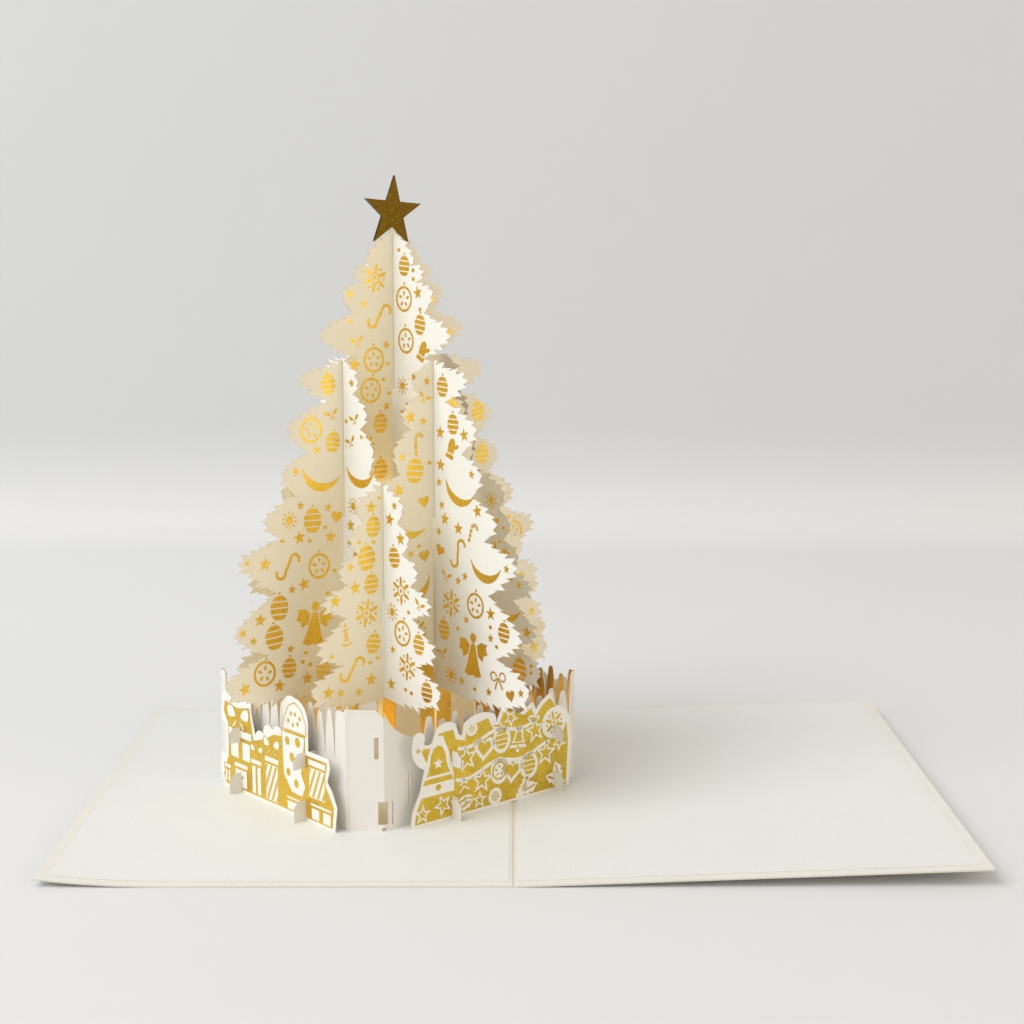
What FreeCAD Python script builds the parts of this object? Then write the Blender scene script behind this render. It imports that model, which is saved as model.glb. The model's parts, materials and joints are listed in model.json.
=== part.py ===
import FreeCAD, Part
import Sketcher
import math
import os

"""Pop up card: a folded sheet whose left page carries a sliceform fir tree inside a picket ring.

Frame: origin bottom centre of the open card, X along its width with the crease at X = 0, Y away
from the reader, Z up. Millimetres and degrees throughout.
"""

os.makedirs("parts", exist_ok=True)
doc = FreeCAD.newDocument("pop_up_card")

# Driving sizes
SIZES = [
    ("card_width", 150.0, "width of one page"),
    ("card_depth", 200.0, "page from front edge to back edge"),
    ("cover_thick", 0.5, "card stock of the folded cover"),
    ("curl_start", 110.0, "distance from the crease at which the left page starts to lift"),
    ("curl_radius", 334.5, "bow of the lifted edge of the left page"),
    ("page_tilt", 2.12, "angle by which the right page stands open"),
    ("score_half", 0.5, "half width of the pressed crease"),
    ("score_depth", 0.25, "depth of the pressed crease"),
    ("liner_thick", 0.2, "paper glued inside each page"),
    ("liner_margin", 4.0, "border left round a liner"),
    ("liner_gutter", 1.3, "from the crease to a liner"),
    ("paper", 0.3, "paper of the tree, fence and reliefs"),
    ("fit_gap", 0.15, "play on each side where one paper passes through another"),
    ("tree_x", -42.8, "middle of the tree across the card"),
    ("tree_y", 8.7, "middle of the tree from front to back"),
    ("lattice_turn", 41.0, "direction of the A slices"),
    ("pitch", 22.6, "spacing of the slices"),
    ("apex", 201.0, "top of the two middle slices"),
    ("apex_half", 1.3, "half width of a slice at its top"),
    ("side_apex", 157.0, "top of the four outer slices"),
    ("branch_base", 40.5, "underside of the lowest branches"),
    ("trunk_half", 18.0, "half width of the stem wall of a slice"),
    ("slot_width", 1.4, "width of the slots in the A slices"),
    ("slot_width_top", 1.0, "width of the slots in the B slices"),
    ("meet_mid", 146.0, "height at which the two middle slices meet"),
    ("meet_side", 101.7, "height at which a middle slice meets an outer one"),
    ("meet_corner", 75.0, "height at which two outer slices meet"),
    ("corner_mouth", 122.0, "top of the slots where two outer slices meet"),
    ("mouth_rise", 2.0, "how far other slots reach past the top of the slice that they take"),
    ("needle_pitch", 3.7, "spacing of the needles along a branch"),
    ("needle_length", 2.8, "how far a needle stands out"),
    ("tip_needle", 3.2, "length of the needle at the tip of a branch"),
    ("star_radius", 13.0, "centre of the star to its points"),
    ("star_thick", 1.0, "two foil cards with the top of a slice between them"),
    ("star_play", 0.05, "play on each side of the slice between the two cards"),
    ("star_rise", 7.0, "centre of the star above the tops of the slices"),
    ("star_peg", 3.3, "how far the slice's peg reaches into the star past its lower notch"),
    ("star_lean", 4.0, "angle by which the star leans in its own plane"),
    ("ring_long", 48.3, "middle of the tree to the walls across the A slices"),
    ("ring_short", 43.8, "middle of the tree to the walls across the B slices"),
    ("corner_leg", 9.0, "cut taken off the front and rear corners of the ring"),
    ("wall_top", 43.0, "top of the corner panels of the ring"),
    ("valley", 24.0, "foot of the gaps between pickets"),
    ("picket_front", 37.5, "picket tips beside the outer slices' ends"),
    ("picket_side", 41.5, "picket tips on the other two walls"),
    ("picket_step", 1.8, "how much every second picket is lower"),
    ("picket_gap", 1.7, "gap between two pickets near their tips"),
    ("picket_crown", 1.2, "radius of a picket's rounded top"),
    ("flap_length", 8.0, "glue flap of a fence strip"),
    ("seam_gap", 0.8, "fold to the free edge of the next corner panel"),
    ("relief_gap", 4.5, "fence wall to the relief in front of it"),
    ("tongue_out", 5.0, "how far a spacer's tongues stand out of the relief"),
    ("tongue_chamfer", 2.0, "chamfer at the outer top corner of a tongue"),
    ("tongue_low", 8.0, "top of the lower tongue"),
    ("tongue_high_base", 19.5, "underside of the upper tongue"),
    ("tongue_high_top", 25.0, "top of the upper tongue and of the spacer"),
    ("spacer_left_near", 17.0, "spacer on the gift relief beside the corner panel"),
    ("spacer_left_far", -24.0, "other spacer on the gift relief"),
    ("spacer_right_near", -13.4, "spacer on the banner relief beside the corner panel"),
    ("spacer_right_far", 34.3, "other spacer on the banner relief"),
    ("perforation", 2.4, "length of one cut of the perforated fold"),
    ("perforation_pitch", 4.8, "spacing of those cuts"),
    ("slit_width", 0.5, "width of the slits in the fence"),
    ("post_top", 42.0, "top of the folded corner posts of the ring"),
    ("post_shoulder", 2.0, "height of the slant at the top of a post"),
    ("shoulder_foot", 31.0, "where the curved shoulder beside a corner panel ends"),
    ("panel_chamfer", 2.6, "chamfer at the top corners of a corner panel"),
    ("foot_hole", 1.2, "relief holes at the foot of the folds"),
    ("panel_slot", 1.2, "width of the slot in a corner panel"),
    ("panel_slot_inset", 1.8, "fold to that slot"),
    ("fold_window", 3.2, "width of the opening across the fold of a corner panel"),
    ("peephole_half", 0.8, "half width of the peephole in a picket"),
    ("peephole_height", 31.0, "middle of the peephole"),
    ("overcut", 2.0, "how far a cutting outline passes the edge that it crosses"),
]
dims = doc.addObject("Spreadsheet::Sheet", "dims")
for row, (alias, value, note) in enumerate(SIZES, start=1):
    dims.set("A%d" % row, note)
    dims.set("B%d" % row, str(value))
    dims.setAlias("B%d" % row, alias)
doc.recompute()


def size(alias):
    """Value of one cell of the sheet."""
    return float(dims.get(alias))


def value_of(expression):
    """Number that an expression over the sheet gives."""
    result = dims.evalExpression(expression)
    return float(getattr(result, "Value", result))


def bind(item, **expressions):
    """Tie properties of an object to expressions over the sheet."""
    for name, expression in expressions.items():
        item.setExpression(name, expression)


def place(item, x="0", y="0", z="0", turn="0"):
    """Tie an object's place and its turn about the vertical to expressions."""
    item.Placement = FreeCAD.Placement(FreeCAD.Vector(0, 0, 0),
                                       FreeCAD.Rotation(FreeCAD.Vector(0, 0, 1), 1.0))
    item.setExpression("Placement.Base.x", x)
    item.setExpression("Placement.Base.y", y)
    item.setExpression("Placement.Base.z", z)
    item.setExpression("Placement.Rotation.Angle", turn)


PAGE_TOP = "(dims.cover_thick + dims.liner_thick)"
page_top = value_of(PAGE_TOP)
ALONG_A = "dims.lattice_turn"
ALONG_B = "dims.lattice_turn - 90"
nodes = []


def node(item, label):
    """Keep an object as one of the pieces that are written out."""
    item.Label = label
    nodes.append(item)
    return item


def end_at(edge, point):
    """The sketcher's number for the end of an edge that lies at a point."""
    gaps = [end.distanceToPoint(point) for end in (edge.StartPoint, edge.EndPoint)]
    return gaps.index(min(gaps)) + 1


def sketch_outline(body, plane, corners):
    """Closed outline on a plane of the body; each corner is (x, y) or (x, y, radius, centre).

    All are expressions. A corner with a radius is reached along an arc round that centre.
    """
    role = [item for item in body.Origin.OriginFeatures if item.Role == plane][0]
    sketch = body.newObject("Sketcher::SketchObject", body.Name + "_outline")
    sketch.AttachmentSupport = [(role, "")]
    sketch.MapMode = "FlatFace"
    points = [FreeCAD.Vector(value_of(corner[0]), value_of(corner[1]), 0) for corner in corners]
    for index, corner in enumerate(corners):
        start = points[index - 1]
        end = points[index]
        if len(corner) == 2:
            sketch.addGeometry(Part.LineSegment(start, end))
            sketch.addConstraint(Sketcher.Constraint("DistanceX", -1, 1, index, 2, end.x))
            sketch.setExpression("Constraints[%d]" % (sketch.ConstraintCount - 1), corner[0])
            sketch.addConstraint(Sketcher.Constraint("DistanceY", -1, 1, index, 2, end.y))
            sketch.setExpression("Constraints[%d]" % (sketch.ConstraintCount - 1), corner[1])
            continue
        radius = value_of(corner[2])
        centre = FreeCAD.Vector(value_of(corner[3][0]), value_of(corner[3][1]), 0)
        angles = [math.atan2(point.y - centre.y, point.x - centre.x) for point in (start, end)]
        if (angles[1] - angles[0]) % (2 * math.pi) > math.pi:
            angles.reverse()
        circle = Part.Circle(centre, FreeCAD.Vector(0, 0, 1), radius)
        arc = Part.ArcOfCircle(circle, angles[0], angles[1])
        tail = end_at(arc, end)
        sketch.addGeometry(arc)
        sketch.addConstraint(Sketcher.Constraint("Radius", index, radius))
        sketch.setExpression("Constraints[%d]" % (sketch.ConstraintCount - 1), corner[2])
        sketch.addConstraint(Sketcher.Constraint("DistanceX", -1, 1, index, 3, centre.x))
        sketch.setExpression("Constraints[%d]" % (sketch.ConstraintCount - 1), corner[3][0])
        sketch.addConstraint(Sketcher.Constraint("DistanceX", -1, 1, index, tail, end.x))
        sketch.setExpression("Constraints[%d]" % (sketch.ConstraintCount - 1), corner[0])
    for index, point in enumerate(points):
        following = (index + 1) % len(points)
        ends = [end_at(sketch.Geometry[number], point) for number in (index, following)]
        sketch.addConstraint(
            Sketcher.Constraint("Coincident", index, ends[0], following, ends[1]))
    return sketch


def pad(body, sketch, thickness):
    """Pad a sketch evenly to both sides of its plane."""
    feature = body.newObject("PartDesign::Pad", body.Name + "_pad")
    feature.Profile = sketch
    feature.setExpression("Length", thickness)
    feature.Midplane = True
    sketch.Visibility = False
    return feature


def sheet_piece(label, plane, corners, thickness):
    """A body made of one padded outline."""
    body = doc.addObject("PartDesign::Body", label)
    pad(body, sketch_outline(body, plane, corners), thickness)
    return node(body, label)


# Cover and liners
TILT_X = "cos(dims.page_tilt)"
TILT_Z = "sin(dims.page_tilt)"


def on_right_page(distance, height):
    """Point on the tilted page: distance from the crease and height over its underside."""
    return ("(%s) * %s - (%s) * %s" % (distance, TILT_X, height, TILT_Z),
            "(%s) * %s + (%s) * %s" % (distance, TILT_Z, height, TILT_X))


def curled(distance, height):
    """Point on the bowed part of the left page, at a distance from the crease."""
    radius = "(dims.curl_radius - (%s))" % height
    lift = "dims.curl_radius - sqrt(pow(%s; 2) - pow((%s) - dims.curl_start; 2))" % (radius,
                                                                                  distance)
    return ("-(%s)" % distance, lift)


def left_arc(distance, height):
    """Corner reached along the bow of the left page."""
    end = curled(distance, height)
    return end + ("dims.curl_radius - (%s)" % height, ("-dims.curl_start", "dims.curl_radius"))


def make_cover():
    """The folded sheet, its left page flat and bowed at the edge, its right page tilted."""
    inner_arc_end = ("-dims.curl_start", "dims.cover_thick", "dims.curl_radius - dims.cover_thick",
                     ("-dims.curl_start", "dims.curl_radius"))
    corners = [
        ("0", "0"),
        ("-dims.curl_start", "0"),
        left_arc("dims.card_width", "0"),
        curled("dims.card_width", "dims.cover_thick"),
        inner_arc_end,
        ("-dims.score_half", "dims.cover_thick"),
        ("0", "dims.cover_thick - dims.score_depth"),
        on_right_page("dims.score_half", "dims.cover_thick"),
        on_right_page("dims.card_width", "dims.cover_thick"),
        on_right_page("dims.card_width", "0"),
    ]
    return sheet_piece("card_cover", "XZ_Plane", corners, "dims.card_depth")


def make_liners():
    """A thin sheet glued inside each page, inside the border."""
    outer = "dims.card_width - dims.liner_margin"
    depth = "dims.card_depth - 2 * dims.liner_margin"
    low = "dims.cover_thick"
    inner_arc_end = ("-dims.curl_start", PAGE_TOP, "dims.curl_radius - " + PAGE_TOP,
                     ("-dims.curl_start", "dims.curl_radius"))
    sheet_piece("liner_left", "XZ_Plane", [
        ("-dims.liner_gutter", low),
        ("-dims.curl_start", low),
        left_arc(outer, low),
        curled(outer, PAGE_TOP),
        inner_arc_end,
        ("-dims.liner_gutter", PAGE_TOP),
    ], depth)
    sheet_piece("liner_right", "XZ_Plane", [
        on_right_page("dims.liner_gutter", low),
        on_right_page(outer, low),
        on_right_page(outer, PAGE_TOP),
        on_right_page("dims.liner_gutter", PAGE_TOP),
    ], depth)


def box(name, length, width, height, x, y, z):
    """Box tied to the sheet, given by its sizes and its middle in X and Y and its foot in Z."""
    item = doc.addObject("Part::Box", name)
    bind(item, Length=length, Width=width, Height=height)
    item.setExpression("Placement.Base.x", "%s - (%s) / 2" % (x, length))
    item.setExpression("Placement.Base.y", "%s - (%s) / 2" % (y, width))
    item.setExpression("Placement.Base.z", z)
    return item


def cut(name, base, tools):
    """Take tools away from a base."""
    tool = tools[0]
    if len(tools) > 1:
        tool = doc.addObject("Part::MultiFuse", name + "_openings")
        tool.Shapes = tools
    item = doc.addObject("Part::Cut", name)
    item.Base = base
    item.Tool = tool
    return item


def extrude(name, wire, thickness, direction, both_sides=True):
    """Extrude a closed wire, evenly to both sides unless told otherwise."""
    outline = doc.addObject("Part::Feature", name + "_outline")
    outline.Shape = wire
    item = doc.addObject("Part::Extrusion", name + "_blank")
    item.Base = outline
    item.DirMode = "Custom"
    item.Dir = direction
    item.Solid = True
    item.Symmetric = both_sides
    item.setExpression("LengthFwd", thickness)
    return item


STAR_INNER = "dims.star_radius * cos(72) / cos(36)"
STAR_CENTRE = "(dims.apex + dims.star_rise)"
STAR_SEAT = "(%s - %s + dims.star_peg)" % (STAR_CENTRE, STAR_INNER)

# Tree slices: tips and inner corners of the branches, as reach from the stem and height
MIDDLE_TIPS = [(12.6, 192), (18.3, 187.8), (23.2, 181), (32.8, 166), (42, 151.5), (46.5, 135),
               (49, 119.5), (57, 103.5), (67.5, 90), (70, 65), (73.5, 49)]
MIDDLE_INNER = [(10.2, 189.5), (13, 183.7), (17.9, 173.2), (16.4, 157.3), (29, 143),
                (38, 125.5), (43.5, 111), (50, 96.5), (52, 78), (56, 56.5)]
SIDE_TIPS = [(9.5, 150), (14.5, 139), (18, 127), (34.5, 109.5), (37.5, 98.5), (42, 87.5),
             (49.5, 77), (51.5, 60), (54, 48)]
SIDE_INNER = [(6, 145.5), (10, 133.5), (15, 118), (31, 103), (33.5, 92.5), (37.5, 82),
              (38.5, 71), (40, 54.5)]


# Underside of the lowest branch: steps back from its tip and heights over its flat part
UNDERSIDE = [(2.5, 3.5), (12.5, 0.0)]
STEM_SHARE = 0.55
NEEDLE_LEAN = 0.75
FULL_LENGTH_RUN = 9.0


def along_edge(start, end, distance):
    """Point at a distance from start towards end, at most two fifths of the way."""
    share = min(distance / math.dist(start, end), 0.4)
    return (start[0] + (end[0] - start[0]) * share, start[1] + (end[1] - start[1]) * share)


def needles(start, end, inner, order):
    """Points of an edge cut into needles, which lean away from the end named by inner."""
    run = math.dist(start, end)
    count = max(1, round(run / size("needle_pitch")))
    along = ((end[0] - start[0]) / run, (end[1] - start[1]) / run)
    outward = (-along[1], along[0])
    points = []
    for number in range(count):
        base = run * number / count
        following = run * (number + 1) / count
        lean = 0.5 + (NEEDLE_LEAN if inner == "start" else -NEEDLE_LEAN)
        peak = base + (following - base) * lean
        clear = peak if inner == "start" else run - peak
        length = size("needle_length") * (0.75 + 0.25 * math.sin(2.3 * number + order))
        length *= min(1.0, clear / FULL_LENGTH_RUN)
        if number > 0:
            points.append((start[0] + along[0] * base, start[1] + along[1] * base))
        points.append((start[0] + along[0] * peak + outward[0] * length,
                       start[1] + along[1] * peak + outward[1] * length))
    return points


def branch_side(apex, tips, inner, peg_top):
    """Right hand edge of a slice, from its top down to the stem wall."""
    half = size("apex_half")
    base = size("branch_base")
    last = tips[-1]
    underside = [(last[0] - back, base + rise) for back, rise in UNDERSIDE]
    points = [(half, apex)]
    if peg_top > apex:
        points.insert(0, (half, peg_top))
    start = points[-1]
    for order, (tip, following) in enumerate(zip(tips, inner + underside[:1])):
        root = along_edge(tip, start, size("tip_needle"))
        points += needles(start, root, "start", order)
        points += [root, tip]
        root = along_edge(tip, following, size("tip_needle"))
        points.append(root)
        points += needles(root, following, "end", order + 1.5)
        points.append(following)
        start = following
    points += needles(start, underside[1], "end", 2.0)
    points.append(underside[1])
    points += needles(underside[1], (last[0] * STEM_SHARE, base), "end", 3.0)
    points.append((size("trunk_half"), base))
    return points


def slice_wire(apex, tips, inner, peg_top):
    """Closed outline of one tree slice in the XZ plane."""
    right = branch_side(apex, tips, inner, peg_top)
    right.append((size("trunk_half"), page_top))
    outline = right + [(-x, z) for x, z in reversed(right)]
    return Part.makePolygon([FreeCAD.Vector(x, 0, z) for x, z in outline + outline[:1]])


def tree_slice(label, family, number):
    """One slice; A slices are slotted from below, B slices from above."""
    middle = number == 0
    apex = size("apex") if middle else size("side_apex")
    tips = MIDDLE_TIPS if middle else SIDE_TIPS
    inner = MIDDLE_INNER if middle else SIDE_INNER
    peg_top = value_of(STAR_SEAT) if middle and family == "A" else apex
    blank = extrude(label, slice_wire(apex, tips, inner, peg_top), "dims.paper",
                    FreeCAD.Vector(0, 1, 0))
    slots = []
    for crossing in (-1, 0, 1):
        meeting = "dims.meet_side"
        if middle and crossing == 0:
            meeting = "dims.meet_mid"
        if not middle and crossing != 0:
            meeting = "dims.meet_corner"
        where = "%d * dims.pitch" % crossing
        name = "%s_slot_%d" % (label, crossing + 2)
        if family == "A":
            slots.append(box(name, "dims.slot_width", "4 * dims.paper", meeting, where, "0", "0"))
            continue
        mouth = "(dims.apex + dims.mouth_rise)"
        if middle and crossing != 0:
            mouth = "(dims.side_apex + dims.mouth_rise)"
        if not middle:
            mouth = "dims.corner_mouth" if crossing != 0 else "(dims.side_apex + dims.mouth_rise)"
        slots.append(box(name, "dims.slot_width_top", "4 * dims.paper",
                         "%s - %s" % (mouth, meeting), where, "0", meeting))
    piece = cut(label, blank, slots)
    if family == "A":
        across = "%d * dims.pitch" % number
        place(piece, "dims.tree_x + %s * cos(%s)" % (across, ALONG_B),
              "dims.tree_y + %s * sin(%s)" % (across, ALONG_B), "0", ALONG_A)
    else:
        across = "%d * dims.pitch" % number
        place(piece, "dims.tree_x + %s * cos(%s)" % (across, ALONG_A),
              "dims.tree_y + %s * sin(%s)" % (across, ALONG_A), "0", ALONG_B)
    return node(piece, label)


def make_tree():
    """Three slices each way; the middle A slice carries the peg for the star."""
    for number, place_name in ((-1, "rear"), (0, "middle"), (1, "front")):
        tree_slice("tree_slice_a_" + place_name, "A", number)
    for number, place_name in ((-1, "front"), (0, "middle"), (1, "rear")):
        tree_slice("tree_slice_b_" + place_name, "B", number)


def make_star():
    """Two foil cards that are one star over the peg of the middle A slice and part below it."""
    corners = []
    for step in range(10):
        radius = "dims.star_radius" if step % 2 == 0 else STAR_INNER
        angle = "(%d + dims.star_lean)" % (36 * step)
        corners.append(("%s * sin(%s)" % (radius, angle),
                        "%s + %s * cos(%s)" % (STAR_CENTRE, radius, angle)))
    body = doc.addObject("PartDesign::Body", "star_cards")
    pad(body, sketch_outline(body, "XZ_Plane", corners), "dims.star_thick")
    slit = box("star_slit", "2 * dims.star_radius", "dims.paper + 2 * dims.star_play",
               "dims.star_radius", "0", "0", STAR_SEAT + " - dims.star_radius")
    star = cut("star_topper", body, [slit])
    place(star, "dims.tree_x", "dims.tree_y", "0", ALONG_A)
    return node(star, "star_topper")


# Fence: two folded strips, each half a turn from the other, standing on the pages
PICKETS_PER_PITCH = 4
CROWN_FACETS = 4
PEEPHOLE_PICKET = -3.5
# Slits beside the first fold: distance from the fold, foot and height
FOLD_SLITS = [(10.2, 8.0, 12.0), (11.8, 8.0, 12.0), (3.4, 2.5, 8.0)]


def ribbon(points, thickness):
    """Closed plan outline of a folded strip along a centre line, with mitred folds."""
    sides = ([], [])
    for index, point in enumerate(points):
        before = points[max(index - 1, 0)]
        after = points[min(index + 1, len(points) - 1)]
        into = FreeCAD.Vector(point[0] - before[0], point[1] - before[1], 0)
        out = FreeCAD.Vector(after[0] - point[0], after[1] - point[1], 0)
        into = out if into.Length == 0 else into
        out = into if out.Length == 0 else out
        into = into.normalize()
        out = out.normalize()
        normal = FreeCAD.Vector(-into.y - out.y, into.x + out.x, 0).normalize()
        reach = thickness / 2 / (-normal.x * into.y + normal.y * into.x)
        middle = FreeCAD.Vector(point[0], point[1], page_top)
        sides[0].append(middle + normal * reach)
        sides[1].append(middle - normal * reach)
    outline = sides[0] + sides[1][::-1]
    return Part.makePolygon(outline + outline[:1])


def route(start, moves):
    """Closed wire in the XZ plane; a move is an end point or a way point and an end point."""
    edges = []
    here = FreeCAD.Vector(start[0], 0, start[1])
    first = here
    for move in moves:
        end = FreeCAD.Vector(move[-2], 0, move[-1])
        if len(move) == 4:
            edges.append(Part.Arc(here, FreeCAD.Vector(move[0], 0, move[1]), end).toShape())
        else:
            edges.append(Part.LineSegment(here, end).toShape())
        here = end
    edges.append(Part.LineSegment(here, first).toShape())
    return Part.Wire(edges)


def picket_moves(first, last, tip):
    """Moves along the tops of the pickets between two gaps, counted in picket pitches."""
    step = size("pitch") / PICKETS_PER_PITCH
    gap = size("picket_gap")
    foot = size("valley")
    crown = size("picket_crown")
    moves = []
    for number in range(first, last):
        left = number * step
        right = left + step
        top = tip - (size("picket_step") if number % 2 else 0.0)
        rise = top - foot
        moves.append((left + 0.3 * gap, foot + 0.5 * rise))
        for facet in range(CROWN_FACETS + 1):
            angle = math.pi * (1 - facet / CROWN_FACETS)
            moves.append(((left + right) / 2 + crown * math.cos(angle),
                          top - crown + crown * math.sin(angle)))
        moves += [
            (right - 0.3 * gap, foot + 0.5 * rise),
            (right, foot),
        ]
    return moves


def front_wall_waste(corner_3, corner_4):
    """What is cut away over the wall beside the corner panel: shoulder, pickets and post."""
    step = size("pitch") / PICKETS_PER_PITCH
    above = size("wall_top") + size("overcut")
    first = math.ceil((corner_3 + 2 * step) / step)
    last = math.floor((corner_4 - step / 2) / step)
    start_x = corner_3 + 2 * size("paper")
    shoulder = size("shoulder_foot")
    side = size("picket_gap") / 2
    moves = [
        (start_x, size("picket_side")),
        (start_x + 0.35 * (first * step - side - start_x), shoulder + 0.3 * (size("wall_top") - shoulder),
         first * step - side, shoulder),
        (first * step, size("valley")),
    ]
    moves += picket_moves(first, last, size("picket_front"))
    moves += [
        (last * step + side, size("post_top") - size("post_shoulder")),
        (last * step + 2 * side, size("post_top")),
        (corner_4 + size("paper"), size("post_top")),
        (corner_4 + size("paper"), above),
    ]
    return route((start_x, above), moves)


def side_wall_waste(corner_4, corner_5):
    """What is cut away over the second wall: post, pickets and the end beside the flap."""
    step = size("pitch") / PICKETS_PER_PITCH
    above = size("wall_top") + size("overcut")
    first = math.ceil((corner_4 + step / 2) / step)
    last = math.floor((corner_5 - step) / step)
    side = size("picket_gap") / 2
    post = size("post_top")
    moves = [
        (corner_4 - size("paper"), post),
        (first * step - 2 * side, post),
        (first * step - side, post - size("post_shoulder")),
        (first * step, size("valley")),
    ]
    moves += picket_moves(first, last, size("picket_side"))
    moves += [
        (last * step + side, post - size("post_shoulder")),
        (last * step + 2 * side, post),
        (corner_5 - size("paper"), post),
        (corner_5 - size("paper"), above),
    ]
    return route((corner_4 - size("paper"), above), moves)


def fence_strip(label, half_turn):
    """Corner panel, wall, perforated fold, second wall and glue flap, folded from one strip."""
    long_side = size("ring_long")
    short_side = size("ring_short")
    leg = size("corner_leg")
    paper = size("paper")
    diagonal = math.sqrt(0.5)
    free_edge = (-long_side + size("seam_gap") * diagonal,
                 -short_side + leg - size("seam_gap") * diagonal)
    corner_3 = (-long_side + leg, -short_side)
    corner_4 = (long_side, -short_side)
    corner_5 = (long_side, short_side - leg - paper / diagonal)
    flap_end = (corner_5[0] - size("flap_length") * diagonal,
                corner_5[1] + size("flap_length") * diagonal)
    blank = extrude(label, ribbon([free_edge, corner_3, corner_4, corner_5, flap_end], paper),
                    "dims.wall_top - " + PAGE_TOP, FreeCAD.Vector(0, 0, 1), both_sides=False)

    front_waste = extrude(label + "_front_waste", front_wall_waste(corner_3[0], corner_4[0]),
                          "6 * dims.paper", FreeCAD.Vector(0, 1, 0))
    place(front_waste, "0", "-dims.ring_short")
    side_waste = extrude(label + "_side_waste", side_wall_waste(corner_4[1], corner_5[1]),
                         "6 * dims.paper", FreeCAD.Vector(0, 1, 0))
    place(side_waste, "dims.ring_long", "0", "0", "90")

    panel = leg / diagonal - size("seam_gap")
    chamfer = size("panel_chamfer")
    top = size("wall_top")
    past = size("overcut") / 4
    panel_waste = extrude(label + "_panel_waste", route((-past, top + size("overcut")), [
        (-past, top - chamfer - past),
        (chamfer, top),
        (panel - chamfer, top),
        (panel + past, top - chamfer - past),
        (panel + past, top + size("overcut")),
    ]), "4 * dims.paper", FreeCAD.Vector(0, 1, 0))
    place(panel_waste, "-dims.ring_long + dims.seam_gap * cos(45)",
          "-dims.ring_short + dims.corner_leg - dims.seam_gap * cos(45)", "0", "-45")

    middle = PEEPHOLE_PICKET * size("pitch") / PICKETS_PER_PITCH
    half = size("peephole_half")
    eye = size("peephole_height")
    peephole = extrude(label + "_peephole", route((middle - half, eye + half), [
        (middle, eye + 2 * half, middle + half, eye + half),
        (middle + half, eye - half),
        (middle, eye - 2 * half, middle - half, eye - half),
    ]), "6 * dims.paper", FreeCAD.Vector(0, 1, 0))
    place(peephole, "dims.ring_long", "0", "0", "90")

    wall_y = "-dims.ring_short"
    fold_x = "-dims.ring_long + dims.corner_leg"
    through = "6 * dims.paper"
    openings = [front_waste, side_waste, panel_waste, peephole]
    openings.append(box(label + "_panel_slot", "dims.panel_slot", through, "7.5",
                        fold_x + " - dims.panel_slot_inset",
                        wall_y + " + dims.panel_slot_inset", "26"))
    openings.append(box(label + "_fold_window", "dims.fold_window", "dims.fold_window", "8",
                        fold_x, wall_y, "3"))
    for number, (offset, foot, height) in enumerate(FOLD_SLITS):
        openings.append(box("%s_slit_%d" % (label, number + 1), "dims.slit_width", through,
                            str(height), "%s + %s" % (fold_x, offset), wall_y, str(foot)))
    openings.append(box(label + "_foot_hole", "dims.foot_hole", "dims.foot_hole", "dims.foot_hole",
                        fold_x, wall_y, PAGE_TOP))
    cuts = int((size("post_top") - page_top) // size("perforation_pitch"))
    for number in range(cuts):
        openings.append(box("%s_perforation_%d" % (label, number + 1), "3 * dims.paper",
                            "3 * dims.paper", "dims.perforation", "dims.ring_long", wall_y,
                            "%s + %s * dims.perforation_pitch" % (PAGE_TOP, number + 0.5)))
    strip = cut(label + "_flat_foot", blank, openings)
    place(strip, "dims.tree_x", "dims.tree_y", "0", ALONG_A + half_turn)
    return strip


def right_page_wedge():
    """Everything under the surface of the tilted page, for feet that stand on it."""
    wedge = doc.addObject("Part::Box", "under_right_page")
    deep = "6"
    bind(wedge, Length="dims.card_width", Width="dims.card_depth", Height=deep)
    wedge.Placement = FreeCAD.Placement(FreeCAD.Vector(0, 0, 0),
                                        FreeCAD.Rotation(FreeCAD.Vector(0, -1, 0), 1.0))
    wedge.setExpression("Placement.Rotation.Angle", "dims.page_tilt")
    wedge.setExpression("Placement.Base.x", "(%s - %s) * %s" % (deep, PAGE_TOP, TILT_Z))
    wedge.setExpression("Placement.Base.y", "-dims.card_depth / 2")
    wedge.setExpression("Placement.Base.z", "-(%s - %s) * %s" % (deep, PAGE_TOP, TILT_X))
    return wedge


def stand_on_pages(item, wedge, label):
    """Trim a piece so that its foot lies on the tilted page, and keep it."""
    trimmed = doc.addObject("Part::Cut", label)
    trimmed.Base = item
    trimmed.Tool = wedge
    return node(trimmed, label)


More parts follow.
